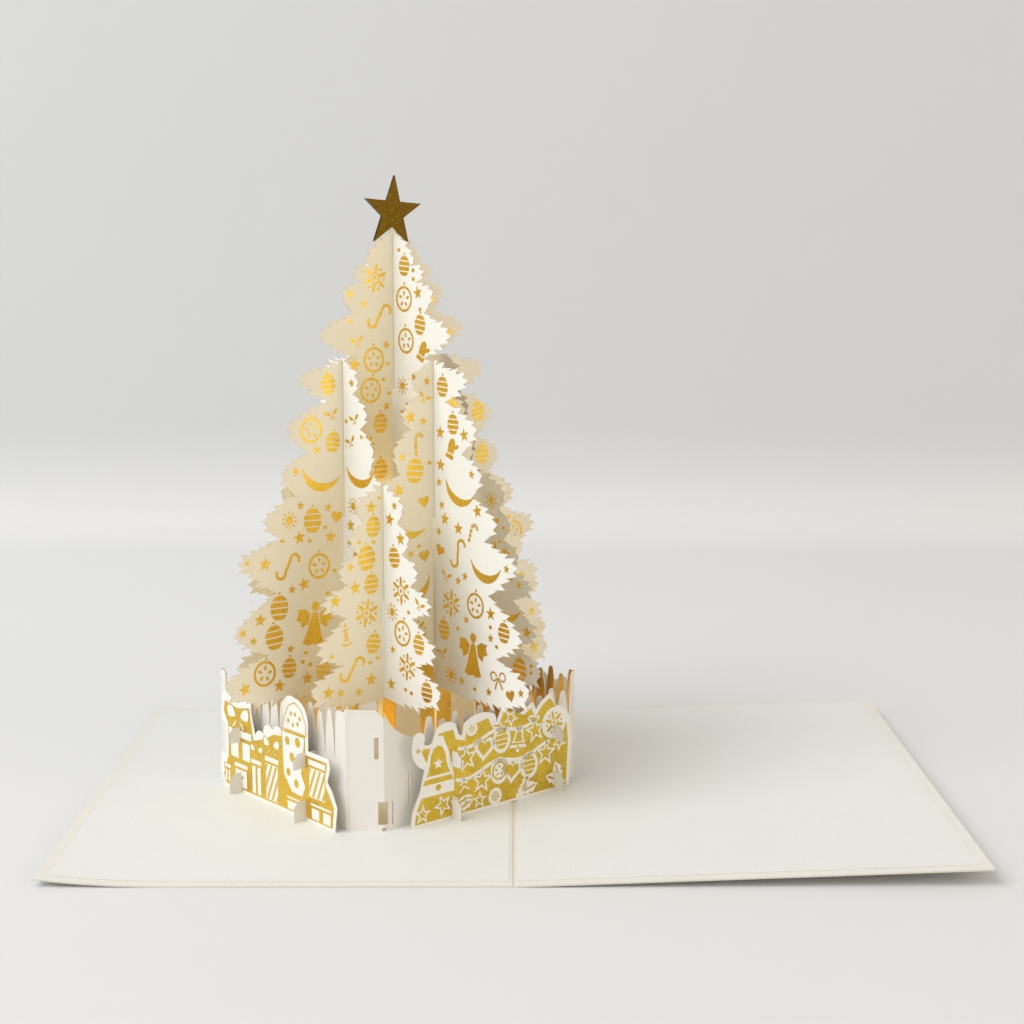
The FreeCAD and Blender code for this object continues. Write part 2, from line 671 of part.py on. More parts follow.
# Outlines of the two reliefs: along the wall and up, from the left foot clockwise
GIFT_FEET = (-35.5, 34.2)
BANNER_FEET = (-31.8, 41.5)
GIFT_OUTLINE = [
    (-37.8, 5), (-37.6, 11), (-36, 13.2, -34, 13), (-33.8, 24.3), (-36.5, 25), (-36.8, 28.5),
    (-35.4, 35), (-33.5, 37, -31, 36), (-25.8, 33.4), (-20.5, 36.9, -16.4, 35.2), (-16.8, 32.5),
    (-14.2, 24), (-11.5, 26.4, -8.8, 25.6), (-6, 29.8, -3, 28.6), (0, 30.6, 3.2, 29.4),
    (3.9, 36), (6, 42.4, 11.4, 42.9), (17, 40.5, 19, 35.5), (18.9, 25.8), (31, 25.8), (31.8, 22.7),
    (30, 17.5), (32.8, 14.7), (35.6, 9.6),
]
BANNER_OUTLINE = [
    (-31, 6.3), (-27.5, 13.3), (-25.6, 20.6), (-30, 24.5, -30.4, 31), (-29.6, 33.4, -26, 29.7),
    (-24.2, 28.9, -22.3, 29.2), (-20.4, 33.6), (-17, 35.4, -11.8, 34.2), (-10.4, 30), (-9, 29.6),
    (-8.2, 33.6), (-4, 35.6, 3.7, 35.3), (6, 34, 6.2, 30.6), (8.8, 35.8), (11.2, 36.6),
    (15.2, 32.6, 19.5, 33.4), (23.6, 35.8), (25.3, 32.6), (27.2, 34.8), (32.4, 37.8),
    (34.2, 32.4), (38.6, 30.8, 41.9, 25.4), (42.6, 17.5),
]


def relief(label, outline, feet, spacers, x, y, turn, wedge):
    """One relief panel in front of a wall, with the slots that the spacers' tongues pass."""
    wire = route((feet[0], page_top), outline + [(feet[1], page_top)])
    blank = extrude(label, wire, "dims.paper", FreeCAD.Vector(0, 1, 0))
    slots = []
    width = "dims.paper + 2 * dims.fit_gap"
    for number, spacer in enumerate(spacers):
        slots.append(box("%s_low_slot_%d" % (label, number + 1), width, "4 * dims.paper",
                         "dims.tongue_low + dims.fit_gap", spacer, "0", "0"))
        slots.append(box("%s_high_slot_%d" % (label, number + 1), width, "4 * dims.paper",
                         "dims.tongue_high_top - dims.tongue_high_base + 2 * dims.fit_gap",
                         spacer, "0", "dims.tongue_high_base - dims.fit_gap"))
    panel = cut(label + "_flat_foot", blank, slots)
    place(panel, x, y, "0", turn)
    stand_on_pages(panel, wedge, label)


def spacer(label, x, y, turn, wedge):
    """Strip from a wall to its relief, with two tongues that pass through the relief."""
    wall_face = "dims.paper / 2"
    relief_face = "dims.relief_gap - dims.paper / 2"
    end = "dims.relief_gap + dims.tongue_out"
    body = doc.addObject("PartDesign::Body", label + "_flat_foot")
    pad(body, sketch_outline(body, "XZ_Plane", [
        (wall_face, PAGE_TOP),
        (end, PAGE_TOP),
        (end, "dims.tongue_low - dims.tongue_chamfer"),
        (end + " - dims.tongue_chamfer", "dims.tongue_low"),
        (relief_face, "dims.tongue_low"),
        (relief_face, "dims.tongue_high_base"),
        (end, "dims.tongue_high_base"),
        (end, "dims.tongue_high_top - dims.tongue_chamfer"),
        (end + " - dims.tongue_chamfer", "dims.tongue_high_top"),
        (wall_face, "dims.tongue_high_top"),
    ]), "dims.paper")
    place(body, x, y, "0", turn)
    stand_on_pages(body, wedge, label)


def from_tree(sign, along, reach, beside, shift):
    """World place of a point a reach along one lattice direction and a shift along the other."""
    return ("dims.tree_x + %d * ((%s) * cos(%s) + (%s) * cos(%s))" % (sign, reach, along, shift,
                                                                     beside),
            "dims.tree_y + %d * ((%s) * sin(%s) + (%s) * sin(%s))" % (sign, reach, along, shift,
                                                                     beside))


def make_fence():
    """Ring, reliefs and spacers; the rear half repeats the front half turned about the tree."""
    wedge = right_page_wedge()
    for place_name, sign, half_turn in (("front", 1, ""), ("rear", -1, " + 180")):
        stand_on_pages(fence_strip("fence_" + place_name, half_turn), wedge, "fence_" + place_name)

        gift_spacers = ("dims.spacer_left_near", "dims.spacer_left_far")
        x, y = from_tree(sign, ALONG_A, "-dims.ring_long - dims.relief_gap", ALONG_B, "0")
        relief("relief_gifts_" + place_name, GIFT_OUTLINE, GIFT_FEET, gift_spacers, x, y,
               ALONG_B + half_turn, wedge)
        for name, shift in zip(("near", "far"), gift_spacers):
            x, y = from_tree(sign, ALONG_A, "-dims.ring_long", ALONG_B, shift)
            spacer("spacer_gifts_%s_%s" % (place_name, name), x, y,
                   ALONG_A + (" + 180" if sign > 0 else ""), wedge)

        banner_spacers = ("dims.spacer_right_near", "dims.spacer_right_far")
        x, y = from_tree(sign, ALONG_B, "dims.ring_short + dims.relief_gap", ALONG_A, "0")
        relief("relief_banner_" + place_name, BANNER_OUTLINE, BANNER_FEET, banner_spacers, x, y,
               ALONG_A + half_turn, wedge)
        for name, shift in zip(("near", "far"), banner_spacers):
            x, y = from_tree(sign, ALONG_B, "dims.ring_short", ALONG_A, shift)
            spacer("spacer_banner_%s_%s" % (place_name, name), x, y, ALONG_B + half_turn, wedge)


make_cover()
make_liners()
make_tree()
make_star()
make_fence()
doc.recompute()

for item in doc.Objects:
    bad = [flag for flag in item.State if flag in ("Invalid", "Error")]
    if bad:
        raise RuntimeError("%s failed: %s" % (item.Name, bad))
for item in nodes:
    shape = item.Shape
    if shape.isNull() or not shape.isValid() or len(shape.Solids) != 1:
        raise RuntimeError("%s: valid %s, solids %d" % (item.Label, shape.isValid(),
                                                       len(shape.Solids)))
for item in nodes:
    item.Shape.exportStep("parts/%s.step" % item.Label)
    print(item.Label, round(item.Shape.Volume, 1))
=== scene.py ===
import json
import math
import random

import bmesh
import bpy
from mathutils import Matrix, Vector
from mathutils.bvhtree import BVHTree

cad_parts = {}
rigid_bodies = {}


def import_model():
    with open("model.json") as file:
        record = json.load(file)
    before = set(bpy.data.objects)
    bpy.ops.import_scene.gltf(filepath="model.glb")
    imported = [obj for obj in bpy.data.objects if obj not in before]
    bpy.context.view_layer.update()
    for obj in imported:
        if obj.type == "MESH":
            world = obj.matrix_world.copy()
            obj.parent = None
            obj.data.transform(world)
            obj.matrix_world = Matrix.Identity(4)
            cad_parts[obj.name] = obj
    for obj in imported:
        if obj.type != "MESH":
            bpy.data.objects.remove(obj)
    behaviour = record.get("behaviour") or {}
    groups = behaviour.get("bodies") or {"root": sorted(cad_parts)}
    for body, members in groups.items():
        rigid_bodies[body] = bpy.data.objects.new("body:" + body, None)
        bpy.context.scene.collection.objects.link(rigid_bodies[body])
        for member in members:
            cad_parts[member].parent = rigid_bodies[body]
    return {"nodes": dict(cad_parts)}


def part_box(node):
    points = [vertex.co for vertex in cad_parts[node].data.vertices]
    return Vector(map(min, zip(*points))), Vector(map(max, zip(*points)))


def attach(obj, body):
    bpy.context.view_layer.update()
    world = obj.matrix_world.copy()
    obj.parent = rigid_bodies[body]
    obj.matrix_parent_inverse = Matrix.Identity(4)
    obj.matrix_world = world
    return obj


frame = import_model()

bl_info = {
    "name": "Pop up card finish",
    "version": (1, 0, 0),
    "blender": (4, 5, 0),
    "location": "View3D > Sidebar > Card",
    "description": "Paper, foil print and studio for a pop up card",
    "category": "Object",
}

MM = 0.001
UP = Vector((0.0, 0.0, 1.0))
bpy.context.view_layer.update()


def middle(name):
    """Middle of a CAD node's box, on the ground."""
    low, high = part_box(name)
    return Vector(((low[0] + high[0]) / 2, (low[1] + high[1]) / 2, 0.0))


# The tree's own frame, read from its slices: A slices run along ALONG_A, B slices along ALONG_B
TREE = middle("tree_slice_a_middle")
ALONG_A = (middle("tree_slice_b_rear") - middle("tree_slice_b_front")).normalized()
ALONG_B = (middle("tree_slice_a_front") - middle("tree_slice_a_rear")).normalized()
ACROSS_CORNERS = (ALONG_A - ALONG_B).normalized()
PITCH = (middle("tree_slice_b_rear") - middle("tree_slice_b_front")).length / 2
# In millimetres: places of the crossings along a slice, and the height over which a slice is
# printed, a little under the tops of the reliefs
CROSSINGS = [line * PITCH / MM for line in (-1, 0, 1)]
PRINT_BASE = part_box("relief_gifts_front")[1][2] / MM - 1.5
# Height over a face from which its paper is looked for, and the reach from the tree's middle
# past which a face of the ring that looks inwards belongs to its wall, both in metres
PROBE = 2 * MM
INNER_WALL = 1.4 * PITCH


def span(name, direction):
    """Lowest and highest reach of a CAD node from the middle of the tree along a direction."""
    reaches = [(vertex.co - TREE).dot(direction) for vertex in frame["nodes"][name].data.vertices]
    return min(reaches), max(reaches)


# Sizes and colours that a user would change

RGB = {"size": 3, "min": 0.0, "max": 1.0}


class PaperLooks(bpy.types.PropertyGroup):
    """Colours and grain of the papers."""
    cover: bpy.props.FloatVectorProperty(
        name="Cover", description="Ivory card of the folded cover",
        default=(0.80, 0.79, 0.745), subtype="COLOR", **RGB)
    liner: bpy.props.FloatVectorProperty(
        name="Liner", description="Paper glued inside the pages",
        default=(0.80, 0.815, 0.805), subtype="COLOR", **RGB)
    tree: bpy.props.FloatVectorProperty(
        name="Tree", description="White paper of the slices",
        default=(0.875, 0.87, 0.825), subtype="COLOR", **RGB)
    # Painted light: the A slices, whose faces turn from the window, get creamier paper than the B
    # slices, as warm bounce light painted on their shaded faces
    tree_warm: bpy.props.FloatVectorProperty(
        name="Tree warm", description="Creamier paper of the slices along the first direction",
        default=(0.94, 0.87, 0.69), subtype="COLOR", **RGB)
    fence: bpy.props.FloatVectorProperty(
        name="Fence", description="White paper of the ring and its spacers",
        default=(0.84, 0.82, 0.775), subtype="COLOR", **RGB)
    relief: bpy.props.FloatVectorProperty(
        name="Relief", description="Whiter paper of the reliefs",
        default=(0.92, 0.905, 0.86), subtype="COLOR", **RGB)
    # Painted light: this warm cream on the ring's inner faces stands in for the warm glow that
    # light gets inside the ring from the foil and through the paper
    inside: bpy.props.FloatVectorProperty(
        name="Inside", description="Warm cream of the ring's inner faces",
        default=(0.95, 0.80, 0.50), subtype="COLOR", **RGB)
    cut_edge: bpy.props.FloatVectorProperty(
        name="Cut edge", description="Tan edge that a laser leaves on paper",
        default=(0.42, 0.30, 0.16), subtype="COLOR", **RGB)
    board_edge: bpy.props.FloatVectorProperty(
        name="Board edge", description="Edge of the guillotined cover and liners",
        default=(0.68, 0.65, 0.57), subtype="COLOR", **RGB)
    fibre_size: bpy.props.FloatProperty(
        name="Fibre size", description="Grain of the paper's surface", default=0.0009,
        min=0.0001, max=0.01, unit="LENGTH")
    fibre_relief: bpy.props.FloatProperty(
        name="Fibre relief", description="Depth of the paper's grain", default=0.00003,
        min=0.0, max=0.001, unit="LENGTH")


class FoilLooks(bpy.types.PropertyGroup):
    """Colour and layout of the gold print."""
    gold: bpy.props.FloatVectorProperty(
        name="Gold", description="Colour of the foil print",
        default=(0.90, 0.60, 0.07), subtype="COLOR", **RGB)
    # Painted shade: the banner's gold is darker and greener than the gifts' gold, for the shade on
    # the banner's face, which turns from the window
    banner_gold: bpy.props.FloatVectorProperty(
        name="Banner gold", description="Colour of the banner's greener foil",
        default=(0.66, 0.46, 0.045), subtype="COLOR", **RGB)
    stem_gold: bpy.props.FloatVectorProperty(
        name="Stem gold", description="Colour of the stems inside the ring",
        default=(0.95, 0.60, 0.09), subtype="COLOR", **RGB)
    # Painted shade and painted reflection: the star's gold is set far darker than foil's own
    # colour, for the shade on the star and the dark room that it mirrors
    star_gold: bpy.props.FloatVectorProperty(
        name="Star gold", description="Colour of the star's darker foil",
        default=(0.12, 0.068, 0.006), subtype="COLOR", **RGB)
    lining_gold: bpy.props.FloatVectorProperty(
        name="Lining gold", description="Colour of the foil inside the ring",
        default=(0.95, 0.66, 0.16), subtype="COLOR", **RGB)
    lift: bpy.props.FloatProperty(
        name="Lift", description="Height of the foil over the paper", default=0.00003,
        min=0.00001, max=0.0005, unit="LENGTH")
    line: bpy.props.FloatProperty(
        name="Line", description="Width of the fine printed lines", default=0.00045,
        min=0.0001, max=0.003, unit="LENGTH")
    spacing: bpy.props.FloatProperty(
        name="Spacing", description="Least gap between two ornaments", default=0.0007,
        min=0.0, max=0.01, unit="LENGTH")
    stem_rim: bpy.props.FloatProperty(
        name="Stem rim", description="Bare paper beside a crossing", default=0.0008,
        min=0.0, max=0.01, unit="LENGTH")
    stem_band: bpy.props.FloatProperty(
        name="Stem band", description="Reach of the gold beside a crossing", default=0.007,
        min=0.001, max=0.02, unit="LENGTH")
    seed: bpy.props.IntProperty(
        name="Seed", description="Picks another layout of the ornaments", default=7, min=0)


class StageLooks(bpy.types.PropertyGroup):
    """Floor, lamps and camera."""
    floor: bpy.props.FloatVectorProperty(
        name="Floor", description="Colour of the floor", default=(0.765, 0.775, 0.79),
        subtype="COLOR", **RGB)
    wall: bpy.props.FloatVectorProperty(
        name="Wall", description="Colour of the backdrop over the floor",
        default=(0.665, 0.68, 0.70), subtype="COLOR", **RGB)
    key_power: bpy.props.FloatProperty(
        name="Key power", description="Window light from the left, in watts", default=44.0,
        min=0.0)
    fill_power: bpy.props.FloatProperty(
        name="Fill power", description="Warm light from the right, in watts", default=1.6, min=0.0)
    glow_power: bpy.props.FloatProperty(
        name="Glow power", description="Warm light that seeps through the paper, in watts a lamp",
        default=0.005, min=0.0)
    sky_level: bpy.props.FloatProperty(
        name="Sky level", description="Even light from all round", default=0.58, min=0.0)
    backdrop_level: bpy.props.FloatProperty(
        name="Backdrop level", description="Brightness of the room past the backdrop",
        default=0.72, min=0.0)
    mirror_level: bpy.props.FloatProperty(
        name="Mirror level", description="Brightness of the room's right side in the foil",
        default=1.0, min=0.0)
    mirror_dark: bpy.props.FloatProperty(
        name="Mirror dark", description="Brightness of the room's left side in the foil",
        default=0.14, min=0.0)
    eye_aside: bpy.props.FloatProperty(
        name="Eye aside", description="Camera to the right of the crease's middle",
        default=-0.00053, unit="LENGTH")
    eye_distance: bpy.props.FloatProperty(
        name="Eye distance", description="Camera in front of the crease's middle", default=0.6245,
        min=0.1, unit="LENGTH")
    eye_height: bpy.props.FloatProperty(
        name="Eye height", description="Camera over the table", default=0.2043, min=0.01,
        unit="LENGTH")
    pitch_down: bpy.props.FloatProperty(
        name="Pitch", description="Tilt of the camera below level", default=math.radians(9.28),
        subtype="ANGLE")
    lens: bpy.props.FloatProperty(
        name="Lens", description="Focal length for a 36 mm sensor", default=62.15, min=10.0)


# Node helpers

def wire(tree, item, sockets):
    """Give a node's inputs, by name or number, plain values or other nodes' outputs."""
    for key, value in sockets.items():
        if isinstance(value, bpy.types.NodeSocket):
            tree.links.new(value, item.inputs[key])
        else:
            item.inputs[key].default_value = value
    return item


def node(tree, kind, sockets=None, **settings):
    """Add a node with its settings and inputs."""
    item = tree.nodes.new(kind)
    for name, value in settings.items():
        setattr(item, name, value)
    return wire(tree, item, sockets or {})


def maths(tree, operation, first, second=0.5):
    """Math node on sockets or plain numbers."""
    return node(tree, "ShaderNodeMath", {0: first, 1: second}, operation=operation).outputs[0]


def weighted(tree, terms, total):
    """Sum of sockets, each times its weight, on top of a first value."""
    for socket, weight in terms:
        total = maths(tree, "ADD", maths(tree, "MULTIPLY", socket, weight), total)
    return total


def rgba(colour):
    """Colour with its alpha; a socket stays as it is."""
    return colour if isinstance(colour, bpy.types.NodeSocket) else (*tuple(colour)[:3], 1.0)


def mix_colour(tree, factor, first, second, blend="MIX"):
    """Colour mix of two sockets or plain colours."""
    return node(tree, "ShaderNodeMix", {0: factor, 6: rgba(first), 7: rgba(second)},
                data_type="RGBA", blend_type=blend).outputs[2]


def shaded(tree, colour, shade):
    """Colour made lighter or darker by a share of itself."""
    level = maths(tree, "ADD", shade, 1.0)
    grey = node(tree, "ShaderNodeCombineColor", {0: level, 1: level, 2: level})
    return mix_colour(tree, 1.0, colour, grey.outputs["Color"], "MULTIPLY")


def noise(tree, vector, size, detail=3.0, roughness=0.55):
    """Noise whose blobs are about a size across, in metres."""
    return node(tree, "ShaderNodeTexNoise", {
        "Vector": vector, "Scale": 1.0 / size, "Detail": detail,
        "Roughness": roughness}).outputs["Fac"]


def stretched(tree, place, scale, turn=(0.0, 0.0, 0.0)):
    """Coordinates scaled and turned."""
    return node(tree, "ShaderNodeMapping",
                {"Vector": place, "Scale": scale, "Rotation": turn}).outputs["Vector"]


def ramp(tree, factor, low, high):
    """Smooth step of a factor from 0 at low to 1 at high."""
    return node(tree, "ShaderNodeMapRange", {"Value": factor, "From Min": low, "From Max": high},
                interpolation_type="SMOOTHSTEP").outputs["Result"]


def object_place(tree):
    """Object coordinates."""
    return node(tree, "ShaderNodeTexCoord").outputs["Object"]


def new_group(name, inputs, outputs, family="ShaderNodeTree"):
    """Empty node group; inputs are (name, type, default) and outputs (name, type)."""
    tree = bpy.data.node_groups.new(name, family)
    for socket, kind, default in inputs:
        item = tree.interface.new_socket(socket, in_out="INPUT", socket_type="NodeSocket" + kind)
        if default is not None:
            item.default_value = default
    for socket, kind in outputs:
        tree.interface.new_socket(socket, in_out="OUTPUT", socket_type="NodeSocket" + kind)
    return tree, tree.nodes.new("NodeGroupInput").outputs, tree.nodes.new("NodeGroupOutput")


# Sockets of the groups: what a surface puts out, and the ways that a sheet's broad faces look
SURFACE = [("Colour", "Color"), ("Roughness", "Float"), ("Height", "Float")]
FACE_WAYS = ("Face direction", "Second direction", "Third direction")
# Colours of duller spots in the foil and of its pale painted glints
PIT_GOLD = (0.40, 0.24, 0.02)
PAINTED_GLINT_GOLD = (0.97, 0.85, 0.48)
# Share of its own colour that each channel keeps in the lining's dark streaks, which are painted
# reflections of the dark room
PAINTED_REFLECTION_SHARES = (0.55, 0.42, 0.3)
# Sizes of the marks in paper and foil, and depths of the foil's relief, in metres
CLOUD_SIZE = 0.018
SHEEN_SIZE = 0.006
STREAK_SIZE = 0.006
PIT_SIZE = 0.0009
GRAIN_AND_GLINT_SIZE = 0.0006
FOIL_RELIEF = 0.00005
STREAK_RELIEF = 0.0002
# Cosine to the broad faces under which a face is a cut edge, and how far an edge is tinted
EDGE_LIMIT = 0.9
EDGE_TINT = 0.75


def paper_fibre():
    """Paper: faint mottling, short fibres and a fine tooth, all on Object coordinates."""
    looks = bpy.context.scene.card_paper
    tree, given, result = new_group("paper fibre", [
        ("Colour", "Color", (0.9, 0.9, 0.86, 1.0)), ("Mottle", "Float", 0.04),
        ("Speck", "Float", 0.05)], SURFACE)
    place = object_place(tree)
    cloud = maths(tree, "SUBTRACT", noise(tree, place, CLOUD_SIZE, 4.0), 0.5)
    tooth = noise(tree, place, looks.fibre_size, 4.0, 0.7)
    strands = noise(tree, stretched(tree, place, (1.0, 0.22, 0.35), (0.3, 0.2, 0.7)),
                    looks.fibre_size * 0.8, 2.0)
    fibres = ramp(tree, strands, 0.60, 0.72)
    shade = maths(tree, "SUBTRACT", maths(tree, "MULTIPLY", cloud, given["Mottle"]),
                  maths(tree, "MULTIPLY", fibres, given["Speck"]))
    wire(tree, result, {
        "Colour": shaded(tree, given["Colour"], shade),
        "Roughness": weighted(tree, [(tooth, 0.25)], 0.55),
        "Height": weighted(tree, [(tooth, 0.6), (fibres, 0.4)], 0.0)})
    return tree


def cut_edge():
    """Mask that is 1 on the cut edges of a sheet whose broad faces look along given directions."""
    tree, given, result = new_group(
        "cut edge", [(name, "Vector", (0.0, 0.0, 1.0)) for name in FACE_WAYS], [("Edge", "Float")])
    normal = node(tree, "ShaderNodeNewGeometry").outputs["Normal"]
    best = 0.0
    for name in FACE_WAYS:
        facing = node(tree, "ShaderNodeVectorMath", {0: normal, 1: given[name]},
                      operation="DOT_PRODUCT").outputs["Value"]
        best = maths(tree, "MAXIMUM", maths(tree, "ABSOLUTE", facing), best)
    wire(tree, result, {"Edge": maths(tree, "LESS_THAN", best, EDGE_LIMIT)})
    return tree


def foil_wear():
    """Hot foil: faint pressing marks, pits of duller metal, pale spots painted in as glints and an
    uneven sheen.
    """
    tree, given, result = new_group("foil wear", [
        ("Colour", "Color", (0.8, 0.5, 0.1, 1.0)), ("Unevenness", "Float", 0.18),
        ("Speckle", "Float", 0.7)], SURFACE)
    place = object_place(tree)
    broad = noise(tree, place, SHEEN_SIZE)
    fine = noise(tree, place, GRAIN_AND_GLINT_SIZE, 3.0, 0.7)
    pits = ramp(tree, noise(tree, place, PIT_SIZE, 2.0, 0.6), 0.56, 0.68)
    painted_glints = ramp(tree, fine, 0.56, 0.68)
    shade = maths(tree, "MULTIPLY", maths(tree, "SUBTRACT", broad, 0.5), given["Unevenness"])
    colour = mix_colour(tree, maths(tree, "MULTIPLY", pits, 0.35),
                        shaded(tree, given["Colour"], shade), PIT_GOLD)
    # Pale spots mixed into the colour: painted glints
    colour = mix_colour(tree, maths(tree, "MULTIPLY", painted_glints, given["Speckle"]), colour,
                        PAINTED_GLINT_GOLD)
    wire(tree, result, {
        "Colour": colour, "Height": fine,
        "Roughness": weighted(tree, [(broad, 0.22), (painted_glints, 0.25)], 0.20)})
    return tree


def shared(build):
    """A shader group, built once; its name is its builder's with spaces."""
    return bpy.data.node_groups.get(build.__name__.replace("_", " ")) or build()


def start_material(name):
    """New material with its tree and Principled shader."""
    material = bpy.data.materials.new(name)
    material.use_nodes = True
    return material, material.node_tree, material.node_tree.nodes["Principled BSDF"]


def surfaced(name, build, bump_height, **values):
    """Material that takes its colour, roughness and bump from a shader group."""
    material, tree, shader = start_material(name)
    surface = node(tree, "ShaderNodeGroup", values, node_tree=shared(build)).outputs
    bump = node(tree, "ShaderNodeBump", {"Distance": bump_height, "Height": surface["Height"]})
    wire(tree, shader, {"Base Color": surface["Colour"], "Roughness": surface["Roughness"],
                        "Normal": bump.outputs["Normal"]})
    return material, tree, shader, surface


def paper_material(name, colour, directions, edge_colour, mottle=0.04, speck=0.05):
    """Paper with fibres and tinted cut edges; directions are the ways its broad faces look."""
    looks = bpy.context.scene.card_paper
    material, tree, shader, surface = surfaced(name, paper_fibre, looks.fibre_relief,
                                               Colour=rgba(colour), Mottle=mottle, Speck=speck)
    ways = dict(zip(FACE_WAYS, (list(directions) * 3)[:3]))
    edge = node(tree, "ShaderNodeGroup", ways, node_tree=shared(cut_edge)).outputs["Edge"]
    tinted = mix_colour(tree, maths(tree, "MULTIPLY", edge, EDGE_TINT), surface["Colour"],
                        edge_colour)
    wire(tree, shader, {"Base Color": tinted, "Specular IOR Level": 0.25})
    return material


def foil_material(name, colour, unevenness=0.18, glint_share=0.7, metallic=1.0):
    """Metallic foil."""
    material, tree, shader = surfaced(name, foil_wear, FOIL_RELIEF, Colour=rgba(colour),
                                      Unevenness=unevenness, Speckle=glint_share)[:3]
    wire(tree, shader, {"Metallic": metallic})
    return material


def lining_material(name, colour):
    """Foil with dark upright streaks, as on the walls inside the ring: the streaks raise a faint
    relief and darken the colour as painted reflections of the dark room.
    """
    material, tree, shader, surface = surfaced(name, foil_wear, STREAK_RELIEF, Colour=rgba(colour),
                                               Unevenness=0.3)
    upright = stretched(tree, object_place(tree), (1.0, 1.0, 0.12))
    ridge_and_painted_reflection = ramp(tree, noise(tree, upright, STREAK_SIZE), 0.38, 0.62)
    # The streaks darken the colour: painted reflections of the dark room
    dark = [channel * share for channel, share in zip(colour, PAINTED_REFLECTION_SHARES)]
    wire(tree, tree.nodes["Bump"], {"Height": ridge_and_painted_reflection})
    wire(tree, shader, {"Base Color": mix_colour(tree, ridge_and_painted_reflection, surface["Colour"], dark),
                        "Metallic": 0.55})
    return material


def dress(start, material):
    """Give one material to every CAD node whose name starts so."""
    for name, item in frame["nodes"].items():
        if name.startswith(start):
            for slot in item.material_slots:
                slot.material = material


# Plane shapes for the print, in millimetres

def lying(x, y):
    """Place on the ground, in metres, of a point in millimetres."""
    return Vector((x * MM, y * MM, 0.0))


def rectangle(x0, y0, x1, y1):
    """Corners of a rectangle, counter-clockwise."""
    return [(x0, y0), (x1, y0), (x1, y1), (x0, y1)]


def scaled(path, radius):
    """Path drawn for a radius of 1, at another radius."""
    return [(x * radius, y * radius) for x, y in path]


def mirrored(side):
    """Closed loop from its right side."""
    return side + [(-x, y) for x, y in reversed(side)]


def polar(reach, degrees):
    """Point at a reach and an angle from the middle."""
    angle = math.radians(degrees)
    return reach * math.cos(angle), reach * math.sin(angle)


def moved(loops, x, y, turn=0.0):
    """Loops turned about their origin and set at a place."""
    cos = math.cos(turn)
    sin = math.sin(turn)
    return [[(x + px * cos - py * sin, y + px * sin + py * cos) for px, py in loop]
            for loop in loops]


def oval(x, y, half_width, half_height, turn, count):
    """Filled oval."""
    unit = [polar(1.0, 360 * step / count) for step in range(count)]
    return moved([[(half_width * px, half_height * py) for px, py in unit]], x, y, turn)


def dot(x, y, radius, count):
    """Filled circle."""
    return oval(x, y, radius, radius, 0.0, count)


def arc(x, y, radius, start, end, count=14):
    """Points along an arc, angles in degrees."""
    points = [polar(radius, start + (end - start) * step / count) for step in range(count + 1)]
    return [(x + px, y + py) for px, py in points]


def arc_between(points):
    """Smooth path in eight steps through three points."""
    (x0, y0), (x1, y1), (x2, y2) = points
    cx = 2 * x1 - (x0 + x2) / 2
    cy = 2 * y1 - (y0 + y2) / 2
    shares = [step / 8 for step in range(9)]
    return [((1 - t) ** 2 * x0 + 2 * t * (1 - t) * cx + t ** 2 * x2,
             (1 - t) ** 2 * y0 + 2 * t * (1 - t) * cy + t ** 2 * y2) for t in shares]


def stroke(path, width, tapered=False):
    """Ribbon of a width along a path, narrowing to its ends if tapered; one loop per segment."""
    sides = []
    last = len(path) - 1
    for index, (x, y) in enumerate(path):
        x0, y0 = path[max(index - 1, 0)]
        x1, y1 = path[min(index + 1, last)]
        length = math.hypot(x1 - x0, y1 - y0)
        half = width / 2
        if tapered:
            half *= max(0.12, math.sin(math.pi * index / last))
        nx = -(y1 - y0) / length * half
        ny = (x1 - x0) / length * half
        sides.append(((x + nx, y + ny), (x - nx, y - ny)))
    return [[one[0], two[0], two[1], one[1]] for one, two in zip(sides, sides[1:])]


def inset(corners, width):
    """Closed outline that runs counter-clockwise, drawn in by a width."""
    inner = []
    count = len(corners)
    for index, (x, y) in enumerate(corners):
        x0, y0 = corners[index - 1]
        x1, y1 = corners[(index + 1) % count]
        into = Vector((x - x0, y - y0)).normalized()
        out = Vector((x1 - x, y1 - y)).normalized()
        normal = Vector((-into.y - out.y, into.x + out.x)).normalized()
        reach = width / max(0.3, normal.dot(Vector((-into.y, into.x))))
        inner.append((x + normal.x * reach, y + normal.y * reach))
    return inner


def border(corners, width):
    """Line of a width just inside a closed outline that runs counter-clockwise."""
    inner = inset(corners, width)
    count = len(corners)
    return [[corners[index], corners[(index + 1) % count], inner[(index + 1) % count],
             inner[index]] for index in range(count)]


def cap(low, high, half):
    """Small cap of a bauble, narrower at its top."""
    return [(-0.5, low), (0.5, low), (half, high), (-half, high)]


# Print motifs: each returns closed loops of (x, y) about its middle

def star(radius):
    """Five pointed star with one point up."""
    reaches = (radius, radius * 0.42) * 5
    return [[polar(reach, 90 - 36 * step) for step, reach in enumerate(reaches)]]


def banded_bauble(radius):
    """Bauble in four bands under a small cap."""
    loops = []
    for band in range(4):
        levels = [radius * ((band + 0.12 + 0.19 * step) / 2 - 1) for step in range(5)]
        loops.append(mirrored([(math.sqrt(max(radius ** 2 - y ** 2, 0.0)) * 0.86, y * 1.05)
                               for y in levels]))
    return loops + [cap(radius * 1.12, radius * 1.12 + 0.8, 0.35)]


def dotted_bauble(radius):
    """Ring with a row of drops inside."""
    loops = border(arc(0, 0, radius, 0, 345, 23), radius * 0.2)
    for turn in range(90, 450, 72):
        loops += oval(*polar(radius * 0.45, turn), radius * 0.2, radius * 0.12,
                      math.radians(turn), 10)
    return loops + [cap(radius * 1.08, radius * 1.3, 0.3)]


def crescent(radius):
    """Slim moon lying on its back."""
    return stroke(arc(0, radius * 0.75, radius * 1.15, 205, 335), radius * 0.40, tapered=True)


